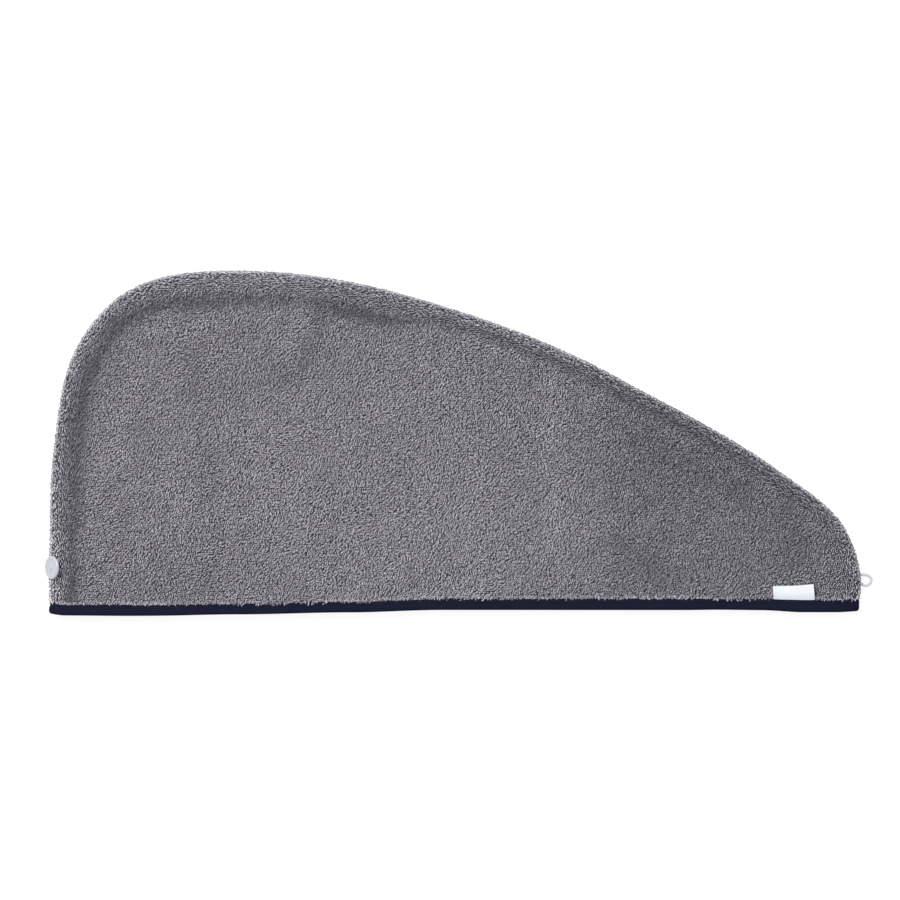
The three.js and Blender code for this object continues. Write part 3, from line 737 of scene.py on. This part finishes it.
def loopFaces(count):
    k = np.arange(3)
    after = (k + 1) % 3
    first = np.stack([np.zeros(3, int), 1 + after, 1 + k], -1)
    final = np.stack([4 + k, 4 + after, np.full(3, 7)], -1)
    faces = [np.concatenate([first, final]), np.stack([1 + k, 1 + after, 4 + after, 4 + k], -1)]
    start, low, high, end = arch["map"]
    tipCells = [[(start, (j + 0.5) / 3), (low, (j + 1) / 3), (low, j / 3)] for j in k]
    tipCells += [[(high, j / 3), (high, (j + 1) / 3), (end, (j + 0.5) / 3)] for j in k]
    sideCells = [[(low, j / 3), (low, (j + 1) / 3), (high, (j + 1) / 3), (high, j / 3)] for j in k]
    patterns = [np.array(cells, float) for cells in (tipCells, sideCells)]
    wide = math.ceil(math.sqrt(count))
    place = np.stack([np.arange(count) % wide, np.arange(count) // wide], -1)[:, None, None]
    cells = np.concatenate([((part * 0.86 + 0.07 + place) / wide).reshape(-1, 2) for part in patterns])
    ply = np.concatenate([np.tile(part.reshape(-1, 2), (count, 1)) for part in patterns])
    base = (np.arange(count) * 8)[:, None, None]
    faces = [(part + base).reshape(-1, part.shape[1]) for part in faces]
    return faces, cells, np.column_stack([ply, np.zeros(len(ply))])


def picked(batch, which):
    return {key: values[which] for key, values in batch.items()}


def joined(*batches):
    return {key: np.concatenate([batch[key] for batch in batches]) for key in batches[0]}


def addLoops(name, batch, look="yarn"):
    order = np.argsort(batch["spots"][:, 0], kind="stable")
    made = []
    for number, part in enumerate(np.array_split(order, math.ceil(len(order) / pile["most"]))):
        points, marks = makeLoops(**picked(batch, part))
        faces, cells, ply = loopFaces(len(part))
        marks = {key: ("POINT", values) for key, values in marks.items()}
        marks["ply"] = ("CORNER", ply)
        made.append(addPiece(f"{name}_{number + 1}", points, faces, look, marks, cells))
    return made


def drawn(size, count):  # one size for all loops, or uneven sizes
    return size[0] * dice.uniform(*size[1:], count) if isinstance(size, tuple) else np.full(count, size)


def drawYarn(kind, count, tone):
    return dict(length=drawn(kind["length"], count), rise=drawn(kind["rise"], count), thick=drawn(kind["thick"], count),
                bend=dice.normal(0, kind["bend"], count),
                tone=np.clip(tone + dice.normal(0, kind["toneSpread"], count), 0, kind["mostTone"]),
                skew=dice.normal(0, kind["skew"], count))


# The places of the button and the label come before the pile, whose loops make room for them.
button = {
    "diameter": 18.8,
    "thickness": 2.4,
    "lean": 51.5,  # degrees outwards
    "slide": 2.2,  # up the rim
    "stand": 0.3,  # over the terry
    "fromMouth": 36.5,  # along the seam
    "shank": 4,
    "shankReach": 2.3,
    "sides": 96,
    "room": 0.35,  # between its underside and the loops
    "roomPast": 0.8,  # and this far past its edge
    "lowest": 0.15,  # loops that would be lower are left out
    "shankRoom": 1.2,
    "shankDeep": 4.5,
}
buttonLean = math.radians(button["lean"])
buttonAxis = np.array([-math.sin(buttonLean), 0, math.cos(buttonLean)])
buttonUp = np.array([math.cos(buttonLean), 0, math.sin(buttonLean)])
buttonEdge = seamAt(np.array([button["fromMouth"]]))[0][0]
buttonFoot = np.array([buttonEdge[0] + seamLevel, float(lifted(buttonEdge[:1], buttonEdge[1:])[0]), seamLevel])
buttonSeat = buttonFoot + buttonAxis * (seamLevel + button["stand"]) + buttonUp * button["slide"]

label = {
    "width": 33,
    "shown": 11.2,
    "tuck": 5,
    "thickness": 0.45,
    "lift": 0.4,
    "fromTail": 51.8,
    "turn": 5.2,
    "points": (49, 33),
    "pressed": 0.9,  # the most that a loop under it stands up
    "pressedPast": 0.5,
    "clear": 1.5,  # further inside its edges than this there are no loops
    "rightClear": 1.3,  # its right edge stands free of them
}
labelMiddle = tailEnd - label["fromTail"]
labelTurn = math.radians(label["turn"])


def labelPlace(x, y):  # along and up the label, for a place on the cloth
    dx, dy = x - labelMiddle, y - float(tapeReach(np.array(labelMiddle)))
    return (dx * math.cos(labelTurn) + dy * math.sin(labelTurn),
            dy * math.cos(labelTurn) - dx * math.sin(labelTurn))


def outerFace(x, y, side, near=0.8):  # points and upward directions of a panel's ground cloth
    slope = np.column_stack([(groundAt(x + near, y, side) - groundAt(x - near, y, side)) / (2 * near),
                             (groundAt(x, y + near, side) - groundAt(x, y - near, side)) / (2 * near)])
    ups = unit(np.column_stack([-slope, np.full(len(x), 1.0)])) * [1, 1, side]
    return np.column_stack([x, lifted(x, y), seamLevel + side * groundAt(x, y, side)]), ups


def flatPile(side, pitch):
    lie, reach = heading(pile["turn"] * side), pile["gridReach"]
    a, b = np.meshgrid(np.arange(-reach, reach, pitch[0]), np.arange(-reach, reach, pitch[1]))
    a = a + (np.arange(len(a)) % 2)[:, None] * pitch[0] / 2
    a, b = a.ravel(), b.ravel()
    x, y = a * lie[0] - b * lie[1], a * lie[1] + b * lie[0]
    keep = (x > 4) & (x < towel["length"] - 4) & (y > 5) & (y < towel["width"])
    x, y = x[keep], y[keep]
    x += dice.normal(0, pile["jitter"] * pitch[1], len(x))
    y += dice.normal(0, pile["jitter"] * pitch[1], len(y))
    inset, near = nearSeam(x, y)
    keep = (inset > seamLevel - 0.6) & (y > tapeReach(x) + 0.6)
    x, y, inset, near = x[keep], y[keep], inset[keep], near[keep]
    # by the rim the loops lie along the edge
    edge = seam["way"][near] * np.sign((seam["way"][near] * lie).sum(1, keepdims=True) + 1e-9)
    share = smooth((inset - 9) / 7)[:, None]
    return x, y, inset, near, unit(edge * (1 - share) + lie * share)


def turnWays(ways, angles):
    c, s = np.cos(angles), np.sin(angles)
    return np.column_stack([ways[:, 0] * c - ways[:, 1] * s, ways[:, 0] * s + ways[:, 1] * c, np.zeros(len(ways))])


def wander(x, y, scale, seed, waves=5):  # a slow wandering value over the cloth, about -1 to 1
    own = np.random.default_rng(seed)
    total = np.zeros(len(x))
    for _ in range(waves):
        angle, size, phase = own.uniform(0, math.tau), scale * own.uniform(0.6, 1.7), own.uniform(0, math.tau)
        total += np.sin((x * math.cos(angle) + y * math.sin(angle)) * math.tau / size + phase)
    return total / 2.6


rim = {
    "rows": (87, 78, 69, 60, 50, 39, 27, 15, 3),  # degrees round the roll
    "pitch": 2.1,  # along the seam
    "backRows": (3, 20, 38, 56, 74),
    "backPitch": 3.4,
    "from": 8.5,  # the rows begin this far from the seam's two ends
    "jitter": 0.25,  # a share of the pitch
    "turnJitter": 4,
    "proud": 0.4,  # the loops stand out this far past the seam line
    "hemProud": 0.9,
    "slant": 13,
    "slantWander": 10,
    "ribs": 2.3,  # the rows stand out as ribs of painted light and shade, light and dark, this far apart
    "ribShade": 0.12,
    "ridgeHighlight": 0.08,  # painted highlight, lighter along the top of the roll
    "sideShade": 0.14,  # painted shade, darker down its side
    "length": (2.6, 0.7, 1.3),
    "rise": (0.7, 1.25),  # shares of the pile's height
    "thick": (0.41, 0.85, 1.2),
    "bend": 0.3,
    "skew": 0.5,
    "toneSpread": 0.16,
    "mostTone": 1.1,
}


# painted light and shade of the ribs, fading out inside the rim
def ribShadeAt(inset):
    return -rim["ribShade"] * np.cos(inset * math.tau / rim["ribs"]) * (1 - smooth((inset - 8) / 5))


def frontPile():
    x, y, inset, near, ways = flatPile(1, pile["pitch"])
    count = len(x)
    share = seam["run"][near] / seam["length"]
    spots, ups = outerFace(x, y, 1)
    pressed = hill(inset - atPlace(pressedShadeBand, share, 1), atPlace(pressedShadeBand, share, 2))
    pressed = pressed * atPlace(pressedShadeBand, share, 3)
    squeeze = squeezeAt(x, y)
    rise = drawn(pile["rise"], count) * (1 - 0.7 * pressed) * (1 - 0.3 * squeeze)
    length = drawn(pile["length"], count) * (1 + 0.4 * pressed)
    thick = drawn(pile["thick"], count)
    bend = dice.normal(0, pile["bend"], count)
    angles = dice.normal(0, math.radians(pile["turnSpread"]), count)
    angles = angles + math.radians(pile["turnWander"]) * wander(x, y, 60, 5)
    # painted shade in the creases, and painted light where they bulge
    creaseShade = np.clip(creaseAt(x, y), -1, 1.4) * smooth((inset - 8) / 10)
    # painted shade towards the sloping tail
    tone = pile["tone"] - pile["slopeShade"] * smooth((x / towel["length"] - 0.6) / 0.13)
    # broad areas of painted light and shade
    for along, across, long, wide, change in paintedLightAndShade:
        tone += change * hill(x / towel["length"] - along, long) * hill(y / towel["width"] - across, wide)
    # painted light and shade of the rim, blended into the loops beside it
    tone = blend(atPlace(rimLightAndShade, share, 1), tone, smooth((inset - 7) / 9))
    # painted shade: the loops are darker in the pressed band by the rim
    tone += dice.normal(0, pile["toneSpread"], count) + 0.03 * wander(x, y, 22, 9) - 1.25 * pressed - 0.13 * creaseShade
    # painted light and shade of the ribs by the rim
    tone += ribShadeAt(inset)
    # loops under the label are pressed flat or left out
    along, up = labelPlace(x, y)
    half, past, clear = label["width"] / 2, label["pressedPast"], label["clear"]
    under = (np.abs(along) < half + past) & (up < label["shown"] + past)
    covered = (np.abs(along) < half - clear) & (up < label["shown"] - clear) | under & (squeeze > 0.1)
    covered |= (np.abs(along - half) < label["rightClear"]) & (up < label["shown"] - past)
    rise = np.where(under, np.minimum(rise, label["pressed"]), rise)
    batch = dict(spots=spots, ups=ups, ways=turnWays(ways, angles), length=length, rise=rise, thick=thick, bend=bend,
                 tone=np.clip(tone, 0, pile["mostTone"]), skew=dice.normal(0, pile["skew"], count))
    return clearButton(picked(batch, ~covered))


def clearButton(batch):  # lowers or drops the loops under the button
    away = batch["spots"] - buttonSeat
    up = away @ buttonAxis
    out = np.linalg.norm(away - up[:, None] * buttonAxis, axis=1)
    room = -up - button["room"] - batch["thick"]
    covered = out < button["diameter"] / 2 + button["roomPast"]
    batch["rise"] = np.where(covered, np.minimum(batch["rise"], np.maximum(room, 0)), batch["rise"])
    byShank = (out < button["shank"] / 2 + button["shankRoom"]) & (up > -button["shankDeep"])
    return picked(batch, ~(covered & (room < button["lowest"])) & ~byShank)


def rimPile(side, turns, pitch):  # rows of loops along the seam, round the roll
    yarn = {**rim, "rise": (pileOn(side), *rim["rise"])}
    batches = []
    for number, angle in enumerate(np.radians(turns)):
        runs = np.arange(rim["from"] + (number % 2) * pitch / 2, seam["length"] - rim["from"], pitch)
        count = len(runs)
        runs = runs + dice.normal(0, rim["jitter"] * pitch, count)
        turn = angle + dice.normal(0, math.radians(rim["turnJitter"]), count)
        spots, ways, inwards = seamAt(runs)
        squeeze = seamSqueeze(spots, runs)
        free = seamLevel - pileOn(side) + rim["proud"]
        inset, height = roll(turn, blend(free, towel["hemRadius"] + rim["hemProud"], squeeze))
        inset = inset - puffAt(runs, squeeze) * np.cos(turn)
        x, y = stepIn(spots, inwards, inset)
        ups = np.column_stack([-inwards * np.cos(turn)[:, None], side * np.sin(turn)])
        slant = dice.normal(0, math.radians(rim["slant"]), count)
        slant = slant + math.radians(rim["slantWander"]) * wander(runs, runs * 0, 31, 3 + number)
        along = np.column_stack([ways, np.zeros(count)])
        flow = along * np.cos(slant)[:, None] + np.cross(along, ups) * np.sin(slant)[:, None]
        degrees = np.degrees(turn)
        # painted light and shade round the roll: a painted highlight near its top, painted shade down its side
        tone = (atPlace(rimLightAndShade, runs / seam["length"], 1) + rim["ridgeHighlight"] * hill(degrees - 62, 10)
                - rim["sideShade"] * smooth((40 - degrees) / 25) + ribShadeAt(inset))
        spots = np.column_stack([x, lifted(x, y), seamLevel + side * height])
        batches.append(dict(spots=spots, ups=ups, ways=flow, **drawYarn(yarn, count, tone)))
    return joined(*batches)


fringe = {
    "pitch": 0.75,
    "jitter": 0.45,
    "ends": (5, 6),  # from the crown end and from the tail
    # along the mouth, how far the loops hang over the tape
    "over": [
        (0, 0), (0.2, 0.3), (0.25, 1.4), (0.36, 1.3), (0.42, 0.4), (0.5, 0.9), (0.65, 0.6), (0.8, 0.4),
        (0.845, 2.1), (0.88, 0.5), (0.95, 0.8), (1, 0.3),
    ],
    "lean": 0.7,
    "length": (2.9, 0.65, 1.3),
    "rise": (1, 0.45, 1.1),
    "thick": (0.41, 0.8, 1.1),
    "bend": 0.35,
    "skew": 0.6,
    "tone": 0.5,
    "toneSpread": 0.26,
    "mostTone": 1.15,
}


def tapeFringe():  # loops that lap over the tape's edge
    x = np.arange(crownEnd + fringe["ends"][0], tailEnd - fringe["ends"][1], fringe["pitch"])
    x = x + dice.normal(0, fringe["jitter"], len(x))
    along, _ = labelPlace(x, tapeReach(x))
    x = x[np.abs(along) > label["width"] / 2 + 1.0]
    count = len(x)
    over = -dice.uniform(-2.3, 0.1, count)
    over = over - atPlace(fringe["over"], x / towel["length"], 1) * dice.uniform(0.2, 1.15, count)
    z = 2 * seamLevel - dice.uniform(0.5, 1.3, count) * smooth(over + 1)
    spots = np.column_stack([x, lifted(x, tapeReach(x) + over), z])
    lean = dice.normal(0, fringe["lean"], count)
    ways = unit(np.column_stack([0.5 + lean, np.full(count, 1.0), np.full(count, -0.12)]))
    ups = np.tile([0.0, 0.0, 1.0], (count, 1))
    return dict(spots=spots, ups=ups, ways=ways, **drawYarn(fringe, count, fringe["tone"]))


frontYarn = joined(frontPile(), clearButton(rimPile(1, rim["rows"], rim["pitch"])), tapeFringe())
frontLoops = addLoops("front_pile", frontYarn)
print("front loops", sum(len(piece.data.polygons) for piece in frontLoops))

# the loops below are pressed flat under the cloth's own weight
under = {
    "pitch": (4.8, 2.7),
    "turnSpread": 13,
    "length": (4.9, 0.8, 1.2),
    "rise": (1, 0.35, 0.6),
    "thick": 0.55,
    "bend": 0.35,
    "skew": 0.4,
    "tone": 0.5,
    "toneSpread": 0.15,
    "mostTone": 1.1,
}


def backPile():
    x, y, _, _, ways = flatPile(-1, under["pitch"])
    spots, ups = outerFace(x, y, -1)
    ways = turnWays(ways, dice.normal(0, math.radians(under["turnSpread"]), len(x)))
    return dict(spots=spots, ups=ups, ways=ways, **drawYarn(under, len(x), under["tone"]))


backRim = rimPile(-1, rim["backRows"], rim["backPitch"])
backLoops = addLoops("back_pile", joined(backPile(), backRim))
print("back loops", sum(len(piece.data.polygons) for piece in backLoops))

# the tape round the mouth
tape = {
    "fold": 4.6,  # from face to face where it is folded
    "foldUp": 2.2,  # how high the fold's round reaches
    "thickness": 0.8,
    "innerLeaf": 7.5,
    "lip": 0.8,  # how round its selvedges are
    "puff": 0.22,
    "stitchDent": 0.9,  # a share of the puff
    # along the mouth, how far the fold hangs below the cloth's own edge
    "sag": [(0, 0.7), (0.1, 1.1), (0.2, 0.7), (0.5, 0.75), (0.78, 0.85), (0.87, 0.1), (1, 0.15)],
    "ear": 1.7,  # the tape stands out this far past the seam line at the crown end
    "earLean": 1.4,  # and this much less at its upper edge
    "wavers": ((0.16, 9.1, 2), (0.12, 4.3, 1)),  # how far its edge strays, over what length, and from where
    "faceWaver": (0.07, 13.0),
    "around": 0.0208,  # metres once round its section
    "stitchIn": 1.7,  # from the tape's edge to its stitches
    "stitchPitch": 3.0,
    "stitchEnds": 9,
    "stitchLength": 2.3,
    "stitchRise": 0.16,
    "stitchThick": 0.2,
    "step": 2.5,
}


def tapeSection(reach, drop):  # the middle line of the folded tape and the directions out of it, as depth and height
    half = tape["thickness"] / 2
    deep = tape["fold"] / 2 - half
    foldUp, stitchIn = tape["foldUp"], tape["stitchIn"]
    outer = np.linspace(reach - half, foldUp, 9)
    turns = np.radians(np.linspace(12, 168, 11))
    inner = np.linspace(foldUp, tape["innerLeaf"] - half, 7)
    past = reach - outer - stitchIn
    swell = np.sin(np.clip(past / (reach - 1.2 - stitchIn), 0, 1) * math.pi)
    puff = tape["puff"] * (swell - tape["stitchDent"] * hill(past, 0.7))
    depth = np.concatenate([half - puff, half + deep * (1 - np.cos(turns)), np.full(len(inner), half + 2 * deep)])
    up = np.concatenate([outer, foldUp - (foldUp - half) * np.sin(turns), inner])
    line = np.column_stack([depth, up - drop * np.clip(1 - up / reach, 0, 1)])
    way = unit(np.gradient(line, axis=0))
    return line, np.column_stack([way[:, 1], -way[:, 0]])


def makeTape():
    crown, tail = crownEnd + seamLevel - tape["ear"], tailEnd - seamLevel + tape["ear"] / 2
    straight = np.linspace(crown, tail, int((tail - crown) / tape["step"]) + 1)
    bend = np.radians(np.linspace(90, -90, 15))[1:-1]
    centres = np.concatenate([straight[::-1], np.full(len(bend), crown), straight, np.full(len(bend), tail)])
    level = np.full(len(straight), math.pi / 2)
    half, run = tape["thickness"] / 2, 0
    rings, coords = [], []
    for centre, angle in zip(centres, np.concatenate([-level, math.pi + bend, level, bend])):
        x = np.array(centre + seamLevel * math.cos(angle))
        waver = sum(size * math.sin(x / length + start) for size, length, start in tape["wavers"])
        line, out = tapeSection(float(tapeReach(x)) + waver, float(atPlace(tape["sag"], x / towel["length"], 1)))
        outer, inner = line + out * half, (line - out * half)[::-1]
        lip = [0, half * tape["lip"]]
        around = np.concatenate([(outer[:1] + inner[-1:]) / 2 + lip, outer, (outer[-1:] + inner[:1]) / 2 + lip, inner])
        depth, up = around.T
        size, length = tape["faceWaver"]
        depth = depth + size * np.sin(x / length + up * 0.5) * (depth < tape["fold"] / 2)
        lean = tape["earLean"] * max(0, -math.cos(angle)) * np.clip(up / towel["tape"], 0, 1) ** 2
        here = np.column_stack([centre + (seamLevel - depth) * math.cos(angle) + lean, up,
                                seamLevel + (seamLevel - depth) * math.sin(angle)])
        if rings:  # measured along the outer face
            run += float(np.linalg.norm((here - rings[-1])[4]))
        rings.append(here)
        lengths = np.concatenate([[0], np.cumsum(np.hypot(*np.diff(around, axis=0).T))])
        coords.append(np.column_stack([np.full(len(lengths), run), lengths, np.zeros(len(lengths))]))
    rings, coords = np.array(rings), np.array(coords) / 1000
    points = rings.reshape(-1, 3)
    points[:, 1] = lifted(points[:, 0], points[:, 1])
    # the last cells run on past the ends of the two counts, so the weave doesn't turn back in them
    coords = np.concatenate([coords, coords[:1] + [coords[-1, 0, 0] + tape["step"] / 1000, 0, 0]])
    coords = np.concatenate([coords, coords[:, :1] + [0, tape["around"], 0]], 1)
    faces = sheetFaces(*rings.shape[:2], True, True)
    marks = {"run": ("CORNER", cornersOf(coords).reshape(-1, 3))}
    addSolid("mouth_tape", "binding", points, [faces], "twill", "tape", marks)


def tapeStitches():
    batches = []
    for side in (1, -1):
        x = np.arange(crownEnd + tape["stitchEnds"], tailEnd - tape["stitchEnds"], tape["stitchPitch"])
        x = x + dice.normal(0, 0.08, len(x))
        count = len(x)
        y = tapeReach(x) - tape["stitchIn"] + dice.normal(0, 0.06, count)
        z = np.full(count, seamLevel + side * (seamLevel - 0.12))
        ups = np.tile([0.0, 0.0, float(side)], (count, 1))
        ways = turnWays(np.tile([1.0, 0.0], (count, 1)), dice.normal(0, 0.05, count))
        batches.append(dict(spots=np.column_stack([x, lifted(x, y), z]), ups=ups, ways=ways,
                            length=drawn(tape["stitchLength"], count), rise=drawn(tape["stitchRise"], count),
                            thick=drawn(tape["stitchThick"], count), bend=dice.normal(0, 0.02, count),
                            tone=np.full(count, 0.5), skew=np.zeros(count)))
    addLoops("tape_stitches", joined(*batches), "thread")


makeTape()
tapeStitches()
print("tape made")


# button, loop and label
def rounded(profile, rounds=2):  # cuts the corners of an open line, keeping its ends
    line = np.array(profile, float)
    for _ in range(rounds):
        cut = np.stack([line[:-1] * 0.75 + line[1:] * 0.25, line[:-1] * 0.25 + line[1:] * 0.75], 1).reshape(-1, 2)
        line = np.concatenate([line[:1], cut[1:-1], line[-1:]])
    return line


def tube(rings, start, end):  # points and faces of rings joined up, with a cap to a point at each end
    rows, sides = rings.shape[:2]
    k, last = np.arange(sides), rows * sides
    after = (k + 1) % sides
    caps = np.concatenate([np.stack([np.full(sides, last), k, after], -1),
                           np.stack([np.full(sides, last + 1), last - sides + after, last - sides + k], -1)])
    return np.concatenate([rings.reshape(-1, 3), [start, end]]), [sheetFaces(rows, sides, False, True), caps]


def circle(sides, first, second):
    turns = np.linspace(0, math.tau, sides, endpoint=False)
    return turns, np.cos(turns)[:, None] * first + np.sin(turns)[:, None] * second


def makeButton():
    radius, thick, shank, deep = button["diameter"] / 2, button["thickness"], button["shank"] / 2, button["shankReach"]
    profile = rounded([  # out and up, from the shank's foot to the pip in the middle
        (0, -deep), (shank, -deep), (shank, -0.1), (shank + 0.5, 0.05), (radius - 1.2, 0.0), (radius - 0.2, 0.25),
        (radius, 1.1), (radius - 0.1, 1.9), (radius - 0.9, thick + 0.02), (radius - 1.9, thick - 0.02),
        (radius - 2.7, thick - 0.42), (4.0, thick - 0.5), (2.0, thick - 0.46), (1.75, thick - 0.1),
        (1.2, thick + 0.08), (0, thick + 0.1),
    ])
    _, around = circle(button["sides"], buttonUp, np.cross(buttonAxis, buttonUp))
    rings = buttonSeat + profile[1:-1, None, 1:] * buttonAxis + profile[1:-1, None, :1] * around
    foot, pip = buttonSeat + profile[0, 1] * buttonAxis, buttonSeat + profile[-1, 1] * buttonAxis
    addSolid("shank_button", "button", *tube(rings, foot, pip), "gloss", "button")


loop = {
    "cord": 2.45,
    "reach": 10.5,
    "span": 8.5,
    "fromMouth": 26.5,
    "leg": 8,
    # out of the seam, as a share of the reach, and up, as a share of the span
    "line": [
        (0.12, 0.48), (0.4, 0.5), (0.66, 0.46), (0.91, 0.27), (1, -0.03), (0.92, -0.31), (0.68, -0.49),
        (0.4, -0.5), (0.12, -0.37),
    ],
    "braid": 4.2,  # radians to the millimetre
    "strands": 4,  # each way round
    "relief": 0.015,  # a share of the radius
    "steps": 150,
    "sides": 20,
}


def cordLine():  # smooth through the loop's points, with both legs straight
    middle = seamAt(np.array([seam["length"] - loop["fromMouth"]]))[0][0]
    reach = loop["reach"] - loop["cord"] / 2
    legs = [-loop["leg"], -loop["leg"] / 2, 0]
    knots = [(out, loop["line"][0][1]) for out in legs] + [(out * reach, up) for out, up in loop["line"]]
    knots = middle + np.array(knots + [(out, loop["line"][-1][1]) for out in reversed(legs)]) * [1, loop["span"]]
    at = np.concatenate([[0], np.cumsum(np.sqrt(np.hypot(*np.diff(knots, axis=0).T)))])
    slopes = np.gradient(knots, at, axis=0)
    steps = np.linspace(0, at[-1], loop["steps"])
    index = np.clip(np.searchsorted(at, steps, side="right") - 1, 0, len(at) - 2)
    span = (at[index + 1] - at[index])[:, None]
    t = (steps - at[index])[:, None] / span
    line = ((2 * t ** 3 - 3 * t ** 2 + 1) * knots[index] + (t ** 3 - 2 * t ** 2 + t) * span * slopes[index]
            + (-2 * t ** 3 + 3 * t ** 2) * knots[index + 1] + (t ** 3 - t ** 2) * span * slopes[index + 1])
    return np.column_stack([line, np.full(len(line), seamLevel)])


def makeCord():
    line, sides = cordLine(), loop["sides"]
    run = np.concatenate([[0], np.cumsum(np.linalg.norm(np.diff(line, axis=0), axis=1))])
    up = np.array([0.0, 0.0, 1.0])
    aside = np.cross(unit(np.gradient(line, axis=0)), up)
    turns, around = circle(sides, up, aside[:, None])
    lay = run[:, None] * loop["braid"]
    strand = np.maximum(np.sin(lay + turns * loop["strands"]), np.sin(lay - turns * loop["strands"]))
    radius = loop["cord"] / 2 * (1 - loop["relief"] + loop["relief"] * strand)
    points, faces = tube(line[:, None] + around * radius[..., None], line[0], line[-1])
    runs, shares = np.meshgrid(run / 1000, np.linspace(0, 1, sides + 1), indexing="ij")
    marks = cornersOf(np.stack([runs, shares, np.zeros(runs.shape)], -1)).reshape(-1, 3)
    marks = np.concatenate([marks, np.zeros((faces[1].size, 3))])
    addSolid("braided_loop", "elastic_loop", points, faces, "braid", "elastic", {"run": ("CORNER", marks)})


def makeLabel():
    along, up = np.meshgrid(label["width"] * np.linspace(-0.5, 0.5, label["points"][0]),
                            np.linspace(-label["tuck"], label["shown"], label["points"][1]), indexing="ij")
    rows, columns = along.shape
    count = rows * columns
    along, up = along.ravel(), up.ravel()
    x = labelMiddle + along * math.cos(labelTurn) - up * math.sin(labelTurn)
    y = float(tapeReach(np.array(labelMiddle))) + along * math.sin(labelTurn) + up * math.cos(labelTurn)
    freed = smooth(pastTape(x, y))
    lying = seamLevel - towel["fieldDrop"] + label["lift"]
    height = seamLevel + blend(towel["hemRadius"] + 0.04, lying, np.sqrt(freed))
    a, b = along / label["width"] * 2, up / label["shown"]
    # the free edge curls up a little at its ends, and the two sides are folded under
    height = height + freed * (0.35 * smooth((np.abs(a) - 0.55) / 0.45) + 0.16 * np.sin(a * 5.1 + 0.6)
                               + 0.3 * smooth((b - 0.55) / 0.45) * (0.4 + 0.6 * a))
    thick = label["thickness"] * (1 + 0.5 * (np.abs(a) > 0.93) * freed)
    y = lifted(x, y)
    points = np.concatenate([np.column_stack([x, y, height + thick]), np.column_stack([x, y, height])])
    faces = sheetFaces(rows, columns)
    index = np.arange(count).reshape(rows, columns)
    edge = np.concatenate([index[:, 0], index[-1, 1:], index[-2::-1, -1], index[0, -2:0:-1]])
    after = np.roll(edge, -1)
    sides = np.stack([edge, after, after + count, edge + count], -1)
    places = np.tile(np.column_stack([along, up, np.zeros(count)]) / 1000, (2, 1))
    return addSolid("woven_label", "label", points, [faces, faces[:, ::-1] + count, sides], "satin", "label",
                    {"run": ("POINT", places)})


makeButton()
makeCord()
wovenLabel = makeLabel()
print("button, loop and label made")

# floor, lights and camera, in metres
studio = {
    "floor": tint(0.15, 0.15, 0.15),
    "floorGlow": 0.87,  # the table is lit from below too, which takes the shadows off it
    "floorHalf": 3.0,
    "floorLevel": -0.0006,
    "world": (0.93, 0.965, 1.0, 1.0),
    "worldStrength": 0.66,
    "lamps": [  # place, size, power
        ((-0.85, 1.05, 1.7), 1.3, 72),
        ((0.9, -0.4, 1.7), 1.6, 9),
    ],
    "cameraHeight": 3.0,
    "sharpLevel": 0.010,
    "sensor": 36,
    "view": (-0.00719, -0.00575),  # what the middle of the picture looks at
    "viewWidth": 0.72135,
}


def place(name, data, where):
    holder = bpy.data.objects.new(name, data)
    holder.location = where
    bpy.context.scene.collection.objects.link(holder)
    return holder


def makeFloor():
    fixed = {"Specular IOR Level": 0.1, "Emission Color": tint(1, 1, 1), "Emission Strength": studio["floorGlow"]}
    paint = Paint("floor", fixed)
    grain = paint.noise(paint.place(), 60, 3, 0.5)
    paint.finish(paint.scaled(studio["floor"], 0.985 + grain * 0.03), 0.8 + grain * 0.1)
    mesh = bpy.data.meshes.new("floor")
    half = studio["floorHalf"]
    corners = [(x * half, y * half, studio["floorLevel"]) for x, y in ((-1, -1), (1, -1), (1, 1), (-1, 1))]
    mesh.from_pydata(corners, [], [(0, 1, 2, 3)])
    mesh.materials.append(paint.material)
    place("floor", mesh, (0, 0, 0))


def makeStudio():
    scene = bpy.context.scene
    scene.view_settings.view_transform = "Standard"
    world = bpy.data.worlds.new("studio")
    world.use_nodes = True
    background = world.node_tree.nodes["Background"].inputs
    background["Color"].default_value = studio["world"]
    background["Strength"].default_value = studio["worldStrength"]
    scene.world = world
    for number, (where, size, power) in enumerate(studio["lamps"]):
        lamp = bpy.data.lights.new(f"softbox{number + 1}", "AREA")
        lamp.shape, lamp.size, lamp.energy = "SQUARE", size, power
        place(lamp.name, lamp, where).rotation_euler = (-Vector(where)).to_track_quat("-Z", "Y").to_euler()
    camera = bpy.data.cameras.new("camera")
    camera.sensor_width = studio["sensor"]
    camera.lens = studio["sensor"] * (studio["cameraHeight"] - studio["sharpLevel"]) / studio["viewWidth"]
    camera.clip_start, camera.clip_end = 0.1, 20
    scene.camera = place("camera", camera, (*studio["view"], studio["cameraHeight"]))


makeFloor()
makeStudio()
meshes = [piece.data for piece in bpy.data.objects if piece.type == "MESH"]
print("triangles", sum(sum(len(face.vertices) - 2 for face in mesh.polygons) for mesh in meshes))
